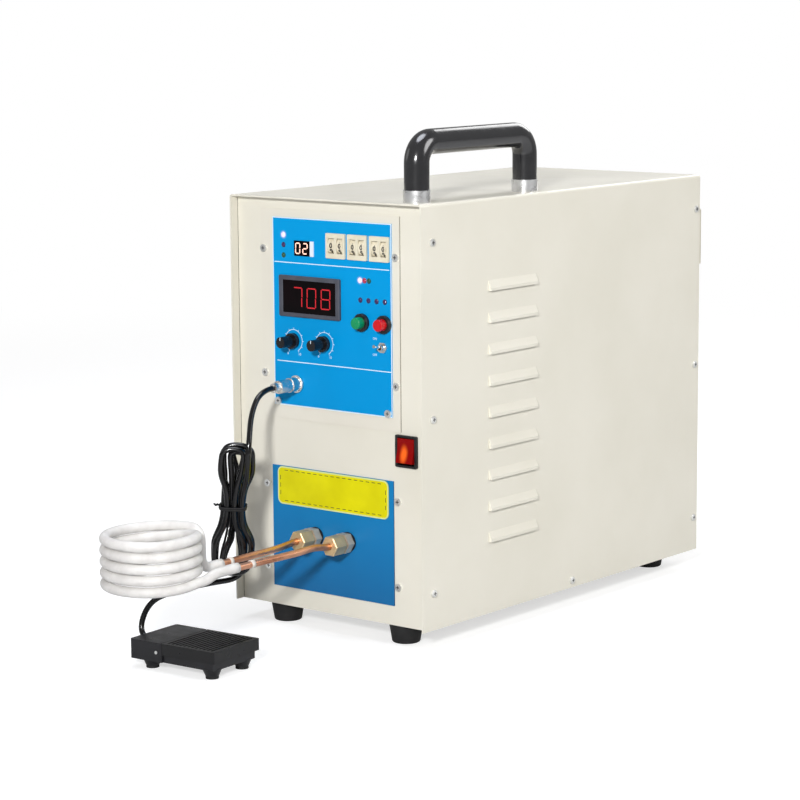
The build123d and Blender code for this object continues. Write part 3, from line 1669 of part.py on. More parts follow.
with BuildPart() as hose_tails:
    tail_spots = [(x, tail_z) for x in tail_x]
    tail_end = tail_reach + rear_overhang
    with BuildSketch(rear):
        with Locations(*tail_spots):
            RegularPolygon(tail_flats / 2, 6, major_radius=False)
    extrude(amount=-tail_hex)
    with BuildSketch(rear):
        with Locations(*tail_spots):
            Circle(tail_collar_radius)
    extrude(amount=-tail_collar_end)
    with BuildSketch(rear):
        with Locations(*tail_spots):
            Circle(tail_radius)
    extrude(amount=-tail_end)
    chamfer(hose_tails.edges().group_by(Axis.Y)[-1], tail_tip)
    with BuildSketch(rear):
        with Locations(*tail_spots):
            Circle(tail_neck)
    extrude(amount=sheet)
    with BuildSketch(rear.offset(sheet)):
        with Locations(*tail_spots):
            RegularPolygon(tail_flats / 2, 6, major_radius=False)
    extrude(amount=tail_nut)
    with BuildSketch(rear.offset(-tail_end)):
        with Locations(*tail_spots):
            Circle(tail_bore)
    extrude(amount=tail_end + sheet + tail_nut, mode=Mode.SUBTRACT)
hose_tails.part.label = "hose_tails"
export_step(hose_tails.part, "parts/hose_tails.step")

with BuildPart() as terminal_cover:
    with BuildSketch(rear):
        with Locations((terminal_left, terminal_low)):
            Rectangle(terminal_width, terminal_height, align=(Align.MIN, Align.MIN))
    extrude(amount=-terminal_depth)
    outer = terminal_cover.edges().filter_by(Axis.X).group_by(Axis.Y)[-1]
    chamfer(outer.sort_by(Axis.Z)[-1], terminal_chamfer)
    with BuildSketch(rear):
        with Locations((terminal_left + terminal_wall, terminal_low + terminal_wall)):
            Rectangle(
                terminal_width - 2 * terminal_wall,
                terminal_height - 2 * terminal_wall,
                align=(Align.MIN, Align.MIN),
            )
    extrude(amount=terminal_wall + terminal_chamfer - terminal_depth, mode=Mode.SUBTRACT)
    with BuildSketch(rear):
        with Locations((terminal_left + terminal_wall, terminal_low + terminal_wall)):
            Rectangle(
                terminal_width - 2 * terminal_wall,
                terminal_height - terminal_wall - terminal_chamfer - 1.0,
                align=(Align.MIN, Align.MIN),
            )
    extrude(amount=terminal_wall - terminal_depth, mode=Mode.SUBTRACT)
    with Locations(
        (
            terminal_left + terminal_width / 2,
            rear_y + terminal_depth / 2,
            foot_height + terminal_low,
        )
    ):
        Cylinder(cable_hole, 4 * terminal_wall, mode=Mode.SUBTRACT)
terminal_cover.part.label = "terminal_cover"
export_step(terminal_cover.part, "parts/terminal_cover.step")

tray_top = foot_height + sheet

with BuildPart() as heatsink:
    with Locations((0, front + sink_y, tray_top + sink_height)):
        Box(sink_width, sink_length, sink_base, align=(Align.CENTER, Align.CENTER, Align.MAX))
    fin_pitch = (sink_width - sink_fin) / (sink_fins - 1)
    for fin in range(sink_fins):
        fin_x = -sink_width / 2 + sink_fin / 2 + fin * fin_pitch
        with Locations((fin_x, front + sink_y, tray_top)):
            Box(
                sink_fin,
                sink_length,
                sink_height - sink_base + 1,
                align=(Align.CENTER, Align.CENTER, Align.MIN),
            )
heatsink.part.label = "heatsink"
export_step(heatsink.part, "parts/heatsink.step")

with BuildPart() as power_modules:
    with Locations(
        (-module_spacing / 2, front + sink_y, tray_top + sink_height),
        (module_spacing / 2, front + sink_y, tray_top + sink_height),
    ):
        Box(
            module_width,
            module_length,
            module_height,
            align=(Align.CENTER, Align.CENTER, Align.MIN),
        )
power_modules.part.label = "power_modules"
export_step(power_modules.part, "parts/power_modules.step")

# The capacitor bank fills the room between the transformer and the left side
with BuildPart() as capacitor_bank:
    room = inside - sheet - transformer_side / 2
    capacitor_x = -(transformer_side + room) / 2
    with Locations((capacitor_x, front + capacitor_y, tray_top)):
        Box(
            room - 2 * capacitor_gap,
            capacitor_length,
            capacitor_height,
            align=(Align.CENTER, Align.CENTER, Align.MIN),
        )
    fillet(capacitor_bank.edges().filter_by(Axis.Z), 5.0)
    stud_base = tray_top + capacitor_height
    with Locations(
        (capacitor_x, front + capacitor_y - stud_spacing / 2, stud_base),
        (capacitor_x, front + capacitor_y + stud_spacing / 2, stud_base),
    ):
        Cylinder(stud_radius, stud_height, align=(Align.CENTER, Align.CENTER, Align.MIN))
capacitor_bank.part.label = "capacitor_bank"
export_step(capacitor_bank.part, "parts/capacitor_bank.step")

with BuildPart() as transformer:
    with Locations((0, front + transformer_y, tray_top)):
        Box(
            transformer_side,
            transformer_side,
            transformer_height,
            align=(Align.CENTER, Align.CENTER, Align.MIN),
        )
    fillet(transformer.edges().filter_by(Axis.Z), 8.0)
    with BuildSketch(panel.offset(tube_rear)):
        with Locations((fitting_x, fitting_z), (-fitting_x, fitting_z)):
            Rectangle(lead_block, lead_block)
    extrude(amount=-transformer_y / 4 - 2.0)
transformer.part.label = "transformer"
export_step(transformer.part, "parts/transformer.step")

with BuildPart() as control_board:
    with BuildSketch(panel.offset(-board_depth)):
        with Locations((0, board_low)):
            Rectangle(board_width, board_height, align=(Align.CENTER, Align.MIN))
    extrude(amount=-board_thickness)
    with BuildSketch(panel):
        with Locations(*board_posts):
            Circle(board_post)
    extrude(amount=-board_depth)
control_board.part.label = "control_board"
export_step(control_board.part, "parts/control_board.step")
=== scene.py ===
import bpy
import bmesh
import math
from mathutils import Matrix, Vector


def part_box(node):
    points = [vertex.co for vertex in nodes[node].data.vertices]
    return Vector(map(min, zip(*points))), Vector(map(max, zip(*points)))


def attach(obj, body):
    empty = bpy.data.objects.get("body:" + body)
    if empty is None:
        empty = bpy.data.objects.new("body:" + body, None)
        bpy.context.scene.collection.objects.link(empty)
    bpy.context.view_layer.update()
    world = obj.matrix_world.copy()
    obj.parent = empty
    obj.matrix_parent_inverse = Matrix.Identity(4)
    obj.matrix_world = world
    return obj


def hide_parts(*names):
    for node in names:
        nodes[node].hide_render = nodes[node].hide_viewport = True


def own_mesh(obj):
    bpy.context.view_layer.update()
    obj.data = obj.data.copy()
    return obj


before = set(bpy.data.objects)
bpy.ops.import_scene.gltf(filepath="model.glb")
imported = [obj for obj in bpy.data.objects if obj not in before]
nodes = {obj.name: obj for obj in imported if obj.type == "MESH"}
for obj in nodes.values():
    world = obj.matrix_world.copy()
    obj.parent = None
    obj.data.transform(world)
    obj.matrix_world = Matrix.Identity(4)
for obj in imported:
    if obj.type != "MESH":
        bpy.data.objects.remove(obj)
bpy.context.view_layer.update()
print("frame loaded:", len(nodes), "CAD nodes")

# Where the case stands, in millimetres
place = {"frontY": -121.75, "panelY": -112.25, "rearY": 341.25, "floorZ": 19.0, "overlay": 1.8}


def at(x, y, z):
    return Vector((x, y, z)) * 0.001


# A point by its distance ahead of the cover's front edge and its height above the cover's floor
def spot(x, ahead, z):
    return at(x, place["frontY"] - ahead, place["floorZ"] + z)


# A point on the front panel, proud of it
def onPanel(x, z, proud):
    return at(x, place["panelY"] - proud, place["floorZ"] + z)


def addObject(name, data):
    made = bpy.data.objects.new(name, data)
    bpy.context.scene.collection.objects.link(made)
    return made


# Camera, set to the photograph's view
shot = {
    "place": (1571.27, -1949.79, 605.13),
    "azimuth": 39.0,
    "elevation": 8.95,
    "roll": -0.42,
    "lens": 117.208,
}


def setCamera():
    turn = math.radians(shot["azimuth"])
    tilt = math.radians(shot["elevation"])
    roll = math.radians(shot["roll"])
    ahead = Vector((-math.sin(turn) * math.cos(tilt), math.cos(turn) * math.cos(tilt), -math.sin(tilt)))
    right = Vector((math.cos(turn), math.sin(turn), 0))
    up = right.cross(ahead)
    sideways = right * math.cos(roll) + up * math.sin(roll)
    upward = up * math.cos(roll) - right * math.sin(roll)
    data = bpy.data.cameras.new("photoCamera")
    data.lens = shot["lens"]
    data.sensor_width = 36
    data.clip_start = 0.05
    data.clip_end = 60
    cameraObject = addObject("photoCamera", data)
    pose = Matrix((sideways, upward, -ahead)).transposed().to_4x4()
    pose.translation = at(*shot["place"])
    cameraObject.matrix_world = pose
    bpy.context.scene.camera = cameraObject
    bpy.context.scene.view_settings.view_transform = "Standard"


setCamera()
print("camera set")

# Soft studio lights: turn from the front and rise in degrees, distance and size in metres, watts, colour
neutral = (1.0, 1.0, 1.0)
cool = (0.93, 0.96, 1.05)
lamps = {
    "key": {"turn": 27.5, "rise": 19, "away": 3.0, "size": 0.32, "watts": 67, "colour": neutral},
    "side": {"turn": 108, "rise": 30, "away": 2.6, "size": 1.4, "watts": 26, "colour": neutral},
    "top": {"turn": -20, "rise": 84, "away": 2.4, "size": 1.4, "watts": 29, "colour": cool},
    "left": {"turn": -62, "rise": 22, "away": 2.6, "size": 1.2, "watts": 3, "colour": neutral},
    "back": {"turn": 190, "rise": 30, "away": 2.8, "size": 1.4, "watts": 20, "colour": neutral},
}
aim = Vector((0.0, 0.08, 0.2))


def addLamp(name, lamp):
    turn = math.radians(lamp["turn"])
    tilt = math.radians(lamp["rise"])
    way = Vector((math.sin(turn) * math.cos(tilt), -math.cos(turn) * math.cos(tilt), math.sin(tilt)))
    data = bpy.data.lights.new(name + "Lamp", "AREA")
    data.shape = "DISK"
    data.size = lamp["size"]
    data.energy = lamp["watts"]
    data.color = lamp["colour"]
    light = addObject(name + "Lamp", data)
    light.location = aim + way * lamp["away"]
    light.rotation_euler = way.to_track_quat("Z", "Y").to_euler()


for lampName, lamp in lamps.items():
    addLamp(lampName, lamp)


# sRGB numbers as they are read from the photograph, made linear
def tint(red, green, blue):
    parts = []
    for value in (red, green, blue):
        part = value / 255
        parts.append(part / 12.92 if part <= 0.04045 else ((part + 0.055) / 1.055) ** 2.4)
    return (*parts, 1.0)


# Strengths of the surroundings, and the floor's grey and reach in metres
studio = {
    "ambient": 0.15,
    "mirrored": 0.25,
    "floorLift": 0.60,
    "floorGrey": (0.55, 0.55, 0.55, 1),
    "floorRadius": 3.2,
    "fadeFrom": 0.9,
    "fadeTo": 2.6,
}
white = (1, 1, 1, 1)


# A shader node with its settings; each socket takes a value or another node's output
def addNode(tree, kind, sockets=None, **settings):
    node = tree.nodes.new("ShaderNode" + kind)
    for name, value in settings.items():
        setattr(node, name, value)
    for socket, value in (sockets or {}).items():
        if isinstance(value, bpy.types.NodeSocket):
            tree.links.new(value, node.inputs[socket])
        else:
            node.inputs[socket].default_value = value
    return node


def calculate(tree, operation, *values):
    return addNode(tree, "Math", dict(enumerate(values)), operation=operation).outputs[0]


def objectPoint(tree):
    return addNode(tree, "TexCoord").outputs["Object"]


# The length of a vector, mapped smoothly: 0 at one length and the most at another
def smoothReach(tree, vector, zeroAt, mostAt, most=1.0):
    length = addNode(tree, "VectorMath", {0: vector}, operation="LENGTH").outputs["Value"]
    limits = {"Value": length, "From Min": zeroAt, "From Max": mostAt, "To Max": most}
    return addNode(tree, "MapRange", limits, interpolation_type="SMOOTHSTEP").outputs[0]


# 1 for the rays that see the white background, less for mirror rays, 0 for the light on the object
def backgroundRays(tree):
    path = addNode(tree, "LightPath")
    mirrored = calculate(tree, "MULTIPLY", path.outputs["Is Glossy Ray"], studio["mirrored"])
    return calculate(tree, "MAXIMUM", path.outputs["Is Camera Ray"], mirrored)


def setWorld():
    world = bpy.data.worlds.new("studio")
    bpy.context.scene.world = world
    world.use_nodes = True
    tree = world.node_tree
    tree.nodes.clear()
    dim = addNode(tree, "Background", {"Color": white, "Strength": studio["ambient"]})
    bright = addNode(tree, "Background", {"Color": white, "Strength": 1.0})
    mix = addNode(tree, "MixShader", {0: backgroundRays(tree), 1: dim.outputs[0], 2: bright.outputs[0]})
    addNode(tree, "OutputWorld", {"Surface": mix.outputs[0]})


# The floor lifts to white for the camera and keeps its shadows near the object
def addFloor():
    shape = bmesh.new()
    bmesh.ops.create_circle(shape, cap_ends=True, segments=96, radius=studio["floorRadius"])
    mesh = bpy.data.meshes.new("floor")
    shape.to_mesh(mesh)
    shape.free()
    floor = addObject("floor", mesh)
    material = bpy.data.materials.new("paleFloor")
    material.use_nodes = True
    tree = material.node_tree
    tree.nodes.clear()
    rays = backgroundRays(tree)
    strength = calculate(tree, "MULTIPLY", rays, studio["floorLift"])
    diffuse = addNode(tree, "BsdfDiffuse", {"Color": studio["floorGrey"]})
    lift = addNode(tree, "Emission", {"Color": white, "Strength": strength})
    near = addNode(tree, "AddShader", {0: diffuse.outputs[0], 1: lift.outputs[0]})
    far = addNode(tree, "Emission", {"Color": white})
    fade = smoothReach(tree, objectPoint(tree), studio["fadeFrom"], studio["fadeTo"])
    seen = calculate(tree, "MULTIPLY", fade, rays)
    mix = addNode(tree, "MixShader", {0: seen, 1: near.outputs[0], 2: far.outputs[0]})
    addNode(tree, "OutputMaterial", {"Surface": mix.outputs[0]})
    mesh.materials.append(material)


setWorld()
addFloor()
print("studio ready")


# Every finish by its name
finish = {}


def shaderOf(material):
    return material.node_tree.nodes["Principled BSDF"]


def newFinish(name, colour, roughness, metallic=0.0, **sockets):
    material = bpy.data.materials.new(name)
    material.use_nodes = True
    shader = shaderOf(material)
    shader.inputs["Base Color"].default_value = colour
    shader.inputs["Roughness"].default_value = roughness
    shader.inputs["Metallic"].default_value = metallic
    for socket, value in sockets.items():
        shader.inputs[socket.replace("_", " ")].default_value = value
    finish[name] = material
    return material


def feed(material, socket, output):
    material.node_tree.links.new(output, shaderOf(material).inputs[socket])


# Noise on Object coordinates, in metres, stretched along the axes
def noiseOf(tree, scale, detail, stretch):
    grain = addNode(tree, "Mapping", {"Vector": objectPoint(tree), "Scale": stretch})
    noise = addNode(tree, "TexNoise", {"Vector": grain.outputs[0], "Scale": scale, "Detail": detail})
    return noise.outputs["Fac"]


# Two shades that drift into each other over the surface
def mottle(material, first, second, scale, low=0.35, high=0.65, stretch=(1, 1, 1)):
    tree = material.node_tree
    ramp = addNode(tree, "ValToRGB", {"Fac": noiseOf(tree, scale, 4.0, stretch)})
    for stop, position, shade in zip(ramp.color_ramp.elements, (low, high), (first, second)):
        stop.position = position
        stop.color = shade
    feed(material, "Base Color", ramp.outputs["Color"])
    return ramp


# Fine relief from noise; height in metres
def roughen(material, scale, height, strength, stretch=(1, 1, 1)):
    tree = material.node_tree
    relief = {"Height": noiseOf(tree, scale, 2.0, stretch), "Distance": height, "Strength": strength}
    feed(material, "Normal", addNode(tree, "Bump", relief).outputs["Normal"])


# Gloss that changes a little from place to place
def smudge(material, low, high, scale, stretch=(1, 1, 1)):
    tree = material.node_tree
    span = {"From Min": 0.3, "From Max": 0.7, "To Min": low, "To Max": high}
    span["Value"] = noiseOf(tree, scale, 3.0, stretch)
    feed(material, "Roughness", addNode(tree, "MapRange", span).outputs[0])


# Cream powder coat: faint shade drift, fine orange peel, satin
def powderCoat(name, light, dark, rough=0.38):
    coat = newFinish(name, tint(*light), rough, Specular_IOR_Level=0.55)
    mottle(coat, tint(*dark), tint(*light), 9.0)
    roughen(coat, 900.0, 0.00006, 0.35)
    smudge(coat, rough - 0.06, rough + 0.08, 30.0)


def plainPlastic(name, colour, shade, rough, grain=1400.0, height=0.00005):
    plastic = newFinish(name, tint(*colour), rough, Specular_IOR_Level=0.4)
    mottle(plastic, tint(*shade), tint(*colour), 60.0)
    roughen(plastic, grain, height, 0.5)
    smudge(plastic, rough - 0.05, rough + 0.07, 80.0)


def glossPlastic(name, colour, shade, rough, shine):
    plastic = newFinish(name, tint(*colour), rough, Specular_IOR_Level=shine)
    mottle(plastic, tint(*shade), tint(*colour), 60.0)
    smudge(plastic, rough - 0.03, rough + 0.05, 80.0)


def turnedMetal(name, colour, shade, rough, metallic=1.0, grain=(1, 1, 14)):
    metal = newFinish(name, (*colour, 1), rough, metallic)
    mottle(metal, (*shade, 1), (*colour, 1), 70.0)
    roughen(metal, 900.0, 0.00003, 0.4, grain)
    smudge(metal, rough - 0.06, rough + 0.12, 140.0)


# Paints: light and dark shade, and roughness where it isn't the usual one
paints = {
    "casePaint": ((228, 224, 211), (223, 219, 205)),
    "terminalPaint": ((226, 221, 204), (219, 214, 196)),
    "platePaint": ((227, 223, 210), (222, 217, 204), 0.36),
}

# Plastics and rubber: colour, deeper shade, roughness, and an own grain and its height
plastics = {
    "rubber": ((26, 26, 27), (17, 17, 18), 0.68, 1100.0, 0.00009),
    "switchBlack": ((28, 28, 30), (20, 20, 22), 0.32),
    "bezelGrey": ((78, 80, 90), (66, 68, 78), 0.42),
    "caseCream": ((228, 221, 199), (218, 210, 186), 0.40),
    "wheelCream": ((234, 226, 204), (222, 212, 186), 0.45),
    "knobBlack": ((20, 20, 24), (14, 14, 17), 0.22),
    "pedalGrey": ((24, 24, 28), (17, 17, 20), 0.32, 1200.0, 0.00007),
    "treadleDark": ((12, 12, 14), (8, 8, 10), 0.32, 1200.0, 0.00007),
    "fanBlack": ((30, 30, 32), (22, 22, 24), 0.45),
    "moduleDark": ((40, 40, 42), (30, 30, 32), 0.50),
    "ferrite": ((58, 55, 54), (44, 42, 41), 0.62, 700.0, 0.0001),
    "startGreen": ((16, 148, 92), (10, 128, 78), 0.24),
    "stopRed": ((214, 14, 26), (188, 10, 20), 0.24),
    "boardGreen": ((24, 92, 54), (16, 72, 42), 0.4),
}

# Metals: colour, deeper shade, roughness, and their own metallic value and grain
metals = {
    "zinc": ((0.86, 0.86, 0.84), (0.74, 0.74, 0.72), 0.34),
    "chrome": ((0.86, 0.86, 0.86), (0.78, 0.78, 0.78), 0.10),
    "satinSteel": ((0.78, 0.78, 0.78), (0.70, 0.70, 0.70), 0.27),
    "nickel": ((0.78, 0.77, 0.74), (0.66, 0.65, 0.62), 0.18),
    "springSteel": ((0.62, 0.62, 0.61), (0.5, 0.5, 0.49), 0.26),
    "brass": ((0.76, 0.58, 0.33), (0.60, 0.44, 0.24), 0.36, 0.6),
    "paleBrass": ((0.86, 0.70, 0.52), (0.72, 0.56, 0.40), 0.36, 0.6),
    "guardWire": ((0.74, 0.74, 0.73), (0.62, 0.62, 0.61), 0.22),
    "aluminium": ((0.74, 0.75, 0.76), (0.62, 0.63, 0.64), 0.34, 1.0, (20, 1, 1)),
}

for name, look in paints.items():
    powderCoat(name, *look)
for name, look in plastics.items():
    plainPlastic(name, *look)
for name, look in metals.items():
    turnedMetal(name, *look)
glossPlastic("gripPlastic", (24, 24, 27), (16, 16, 19), 0.16, 1.0)


# Bare copper: pink where bright, browner and rougher where it has been hot or handled
def copperFinish():
    copper = newFinish("copper", (0.80, 0.42, 0.27, 1), 0.28, 1.0)
    ramp = mottle(copper, (0.36, 0.15, 0.08, 1), (0.80, 0.43, 0.28, 1), 55.0, 0.34, 0.62, (1, 0.35, 1))
    middle = ramp.color_ramp.elements.new(0.47)
    middle.color = (0.60, 0.29, 0.18, 1)
    roughen(copper, 700.0, 0.00004, 0.4, (1, 0.08, 1))
    smudge(copper, 0.20, 0.42, 90.0, (1, 0.3, 1))


# Printed films: colours above and below, where they lie, and where a lit lamp's glow is painted on them
film = {
    "overlayFilm": {
        "high": (0, 152, 218),
        "low": (0, 144, 210),
        "top": 375.0,
        "foot": 197.0,
        "lit": ((-55.4, 359.0, 0.5, 4.6), (38.2, 321.5, 0.5, 4.4)),
    },
    "lowerFilm": {"high": (22, 122, 182), "low": (30, 104, 158), "top": 100.0, "foot": 19.0, "lit": ()},
}
# Colour of the painted glow round the lit indicator lamps
shine = (226, 214, 246)


def blend(tree, factor, first, second):
    mix = addNode(tree, "Mix", {"A": first, "B": second, "Factor": factor}, data_type="RGBA")
    return mix.outputs["Result"]


# A colour that deepens a little with height, and painted glow round the lit lamps, under a clear satin face
def filmFinish(name, look):
    printed = newFinish(name, tint(*look["high"]), 0.34, Specular_IOR_Level=0.12)
    tree = printed.node_tree
    split = addNode(tree, "SeparateXYZ", {0: objectPoint(tree)})
    rise = {"Value": split.outputs["Z"]}
    rise["From Min"] = (place["floorZ"] + look["foot"]) * 0.001
    rise["From Max"] = (place["floorZ"] + look["top"]) * 0.001
    factor = addNode(tree, "MapRange", rise).outputs[0]
    colour = blend(tree, factor, tint(*look["low"]), tint(*look["high"]))
    # Painted glow of each lit lamp, strongest at its middle
    for x, z, inner, outer in look["lit"]:
        middle = {0: objectPoint(tree), 1: onPanel(x, z, place["overlay"])}
        shift = addNode(tree, "VectorMath", middle, operation="SUBTRACT").outputs["Vector"]
        paintedGlow = smoothReach(tree, shift, outer * 0.001, inner * 0.001)
        colour = blend(tree, paintedGlow, colour, tint(*shine))
    feed(printed, "Base Color", colour)
    roughen(printed, 1600.0, 0.00003, 0.3)
    smudge(printed, 0.30, 0.40, 50.0)


def labelFinish():
    vinyl = newFinish("labelVinyl", tint(222, 214, 12), 0.40, Specular_IOR_Level=0.15)
    mottle(vinyl, tint(212, 204, 8), tint(226, 219, 14), 26.0)
    roughen(vinyl, 800.0, 0.00003, 0.3)
    smudge(vinyl, 0.34, 0.46, 40.0)


# Inks, the painted shade of seams and screw recesses, and small flat things, with their roughness where it
# isn't the usual one
inksAndShades = {
    "whiteInk": ((222, 240, 250),),
    "blackInk": ((24, 22, 20),),
    "limeRim": ((214, 226, 150),),
    "stripWhite": ((226, 232, 246),),
    "bandTape": ((206, 200, 192), 0.5),
    "seamShade": ((70, 64, 54), 0.6),
    "recessShade": ((40, 40, 40), 0.5),
}
glows = {
    "digitRed": ((172, 22, 32), 0.62),
    "digitPale": ((250, 196, 176), 0.9),
    "ledLit": ((226, 208, 244), 0.42),
}
lenses = {"ledPurple": (46, 22, 84), "ledRed": (176, 30, 66), "ledGreen": (10, 76, 52)}


def inkFinish(name, colour, rough=0.45):
    ink = newFinish(name, tint(*colour), rough)
    smudge(ink, rough - 0.05, rough + 0.05, 300.0)


def glowFinish(name, colour, strength):
    glow = tint(*colour)
    newFinish(name, glow, 0.3, Emission_Color=glow, Emission_Strength=strength)


def lensFinish(name, colour):
    lens = newFinish(name, tint(*colour), 0.12, Coat_Weight=0.5, Coat_Roughness=0.05)
    smudge(lens, 0.10, 0.18, 400.0)


def windowFinish():
    window = newFinish("windowDark", tint(8, 3, 5), 0.12, Specular_IOR_Level=0.1)
    mottle(window, tint(4, 2, 3), tint(12, 3, 6), 40.0)


# The rocker's inner light: its middle, its reach in metres along the axes, and where it fades
rockerGlow = {
    "middle": (90.2, 164.0, 2.0),
    "reach": (0.0050, 0.05, 0.0100),
    "fadeFrom": 1.15,
    "fadeTo": 0.2,
    "strength": 0.85,
}


# Rocker of red translucent plastic, lit from inside
def rockerFinish():
    glow = tint(255, 122, 36)
    red = newFinish("rockerRed", tint(134, 4, 4), 0.30, Specular_IOR_Level=0.12, Emission_Color=glow)
    tree = red.node_tree
    middle = {"Location": onPanel(*rockerGlow["middle"]), "Scale": rockerGlow["reach"]}
    middle["Vector"] = objectPoint(tree)
    shift = addNode(tree, "Mapping", middle, vector_type="TEXTURE").outputs["Vector"]
    fade = smoothReach(tree, shift, rockerGlow["fadeFrom"], rockerGlow["fadeTo"], rockerGlow["strength"])
    feed(red, "Emission Strength", fade)
    roughen(red, 900.0, 0.00003, 0.3)


# Where the cord's plug sits, how far it stands ahead of the cover, and the teeth of its knurling
plug = {"x": -40.0, "z": 218.0, "ahead": 27.0, "teeth": 44}


# Knurled nickel, read round the plug's own axis
def knurlFinish():
    knurled = newFinish("knurledNickel", (0.78, 0.77, 0.74, 1), 0.2, 1.0)
    tree = knurled.node_tree
    middle = {0: objectPoint(tree), 1: onPanel(plug["x"], plug["z"], 0)}
    shift = addNode(tree, "VectorMath", middle, operation="SUBTRACT")
    split = addNode(tree, "SeparateXYZ", {0: shift.outputs["Vector"]})
    angle = calculate(tree, "ARCTAN2", split.outputs["Z"], split.outputs["X"])
    wave = calculate(tree, "SINE", calculate(tree, "MULTIPLY", angle, plug["teeth"]))
    ridges = addNode(tree, "Bump", {"Height": wave, "Distance": 0.00012, "Strength": 0.6})
    feed(knurled, "Normal", ridges.outputs["Normal"])
    mottle(knurled, (0.62, 0.61, 0.58, 1), (0.80, 0.79, 0.76, 1), 90.0)
    smudge(knurled, 0.14, 0.28, 200.0)


# Glossy cord skin
def cordFinish():
    gloss = {"Specular_IOR_Level": 0.35, "Coat_Weight": 0.2, "Coat_Roughness": 0.05}
    skin = newFinish("cordSkin", tint(9, 9, 11), 0.18, **gloss)
    mottle(skin, tint(6, 6, 7), tint(12, 12, 14), 45.0)
    roughen(skin, 420.0, 0.00004, 0.3)
    smudge(skin, 0.14, 0.24, 60.0)


copperFinish()
for name, look in film.items():
    filmFinish(name, look)
labelFinish()
for name, look in inksAndShades.items():
    inkFinish(name, *look)
for name, look in glows.items():
    glowFinish(name, *look)
for name, colour in lenses.items():
    lensFinish(name, colour)
windowFinish()
rockerFinish()
knurlFinish()
cordFinish()
print("finishes mixed:", len(finish))


def makePiece(name, shape, looks, body, stands=(), smooth=True):
    mesh = bpy.data.meshes.new(name)
    shape.to_mesh(mesh)
    shape.free()
    for look in looks:
        mesh.materials.append(finish[look])
    for face in mesh.polygons:
        face.use_smooth = smooth
    piece = addObject(name, mesh)
    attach(piece, body)
    if stands:
        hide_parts(*stands)
    return piece


# Printing and other flat things, in one finish and with sharp edges
def makeFlat(name, shape, look, body="chassis"):
    makePiece(name, shape, [look], body, smooth=False)


# A line through its control points, which starts and ends on the first and the last
def newLine(name, points, resolution):
    curve = bpy.data.curves.new(name, "CURVE")
    curve.dimensions = "3D"
    curve.resolution_u = resolution
    spline = curve.splines.new("NURBS")
    spline.points.add(len(points) - 1)
    for point, here in zip(spline.points, points):
        point.co = (*here, 1.0)
    spline.order_u = 3
    spline.use_endpoint_u = True
    return curve


def makeLine(name, points, radius, look, body, resolution):
    curve = newLine(name, points, resolution)
    curve.bevel_depth = radius * 0.001
    curve.bevel_resolution = 5
    curve.use_fill_caps = True
    curve.materials.append(look)
    line = addObject(name, curve)
    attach(line, body)
    return line


# The mesh that a line or a text comes to; its own object isn't needed after that
def meshFrom(holder):
    bpy.context.view_layer.update()
    graph = bpy.context.evaluated_depsgraph_get()
    mesh = bpy.data.meshes.new_from_object(holder.evaluated_get(graph))
    bpy.data.objects.remove(holder)
    return mesh


# Foot switch cord: from its plug, through the hank that is tied at the waist, to the pedal.
# Layers, depths and waists say where each run of the hank lies; heights are those of its points.
hank = {
    "centre": spot(-51.2, 73.0, 111.0),
    "lean": 0.0476,
    "turn": 39.0,
    "topHalf": 16.5,
    "lowHalf": 19.6,
    "topReach": 45.4,
    "lowReach": 44.6,
    "heights": (31, 15, -14, -30),
    "inside": (4, 6),
    "ease": 0.06,
    "endShift": 0.6,
    "bulge": 0.92,
    "step": 7.0,
    "layers": (10.5, 3.5, -3.5, -10.5),
    "depths": (0, 0.5, 1, 1.5, 1, 0.5, 0, 0.5, 1, 1.5, 1),
    "waists": (1.25, -0.75, 0.25, -0.25, 0.75, -1.25, 1.25, -0.75, 0.25, -0.25, 0.75),
    "runLayers": (0, 0, 0, 1, 1, 1, 2, 2, 2, 3, 3),
    "entry": (12.5, 17.5),
    "shifts": {2: -3.0, 3: 3.0, 4: -5.0, 5: 4.0, 8: -1.5, 9: 8.0},
    "lowShifts": {1: 2.0, 3: 5.0, 4: -5.0, 7: 3.0, 8: -2.0, 9: 9.5},
}
hankUp = Vector((hank["lean"], hank["lean"], 1)).normalized()
hankTurn = math.radians(hank["turn"])
hankAcross = Vector((math.cos(hankTurn), math.sin(hankTurn), 0))
hankAcross = (hankAcross - hankUp * hankAcross.dot(hankUp)).normalized()
hankToward = hankAcross.cross(hankUp)


def hankPoint(across, up, toward):
    return hank["centre"] + (hankAcross * across + hankUp * up + hankToward * toward) * 0.001


def hankTurns():
    points = []
    layers = [hank["layers"][index] for index in hank["runLayers"]]
    depths = [depth * hank["step"] for depth in hank["depths"]]
    shoulder, upper, lower, hip = hank["heights"]
    ease = hank["ease"]
    runs = len(depths)
    for run in range(runs):
        down = run % 2 == 0
        sign = 1 if down else -1
        layer = layers[run]
        entering = layers[max(run - 1, 0)]
        top = sign * (hank["topHalf"] - depths[run])
        low = sign * (hank["lowHalf"] - depths[run])
        if run == 0:
            top, entering = hank["entry"]
        waist = hank["waists"][run] * hank["step"]
        shift = hank["shifts"].get(run, 0.0)
        lowShift = hank["lowShifts"].get(run, 0.0)
        strand = [
            (top + shift * hank["endShift"], hank["topReach"] - hank["inside"][0]),
            (top + (waist - top) * ease + shift, shoulder),
            (waist, upper),
            (waist, lower),
            (low + (waist - low) * ease + lowShift, hip),
            (low + lowShift * hank["endShift"], hank["inside"][1] - hank["lowReach"]),
        ]
        if not down:
            strand.reverse()
        inward = [entering, entering * 0.8 + layer * 0.2] + [layer] * 4
        points += [hankPoint(across, up, toward) for (across, up), toward in zip(strand, inward)]
        if run == runs - 1:
            break
        if down:
            end, nearer, height = low, depths[run + 1] - hank["lowHalf"], -hank["lowReach"]
        else:
            end, nearer, height = top, hank["topHalf"] - depths[run + 1], hank["topReach"]
        height -= sign * hank["bulge"] * abs(end - nearer) / 2
        for share in (ease, 1 - ease):
            points.append(hankPoint(end + (nearer - end) * share, height, layer))
    return points


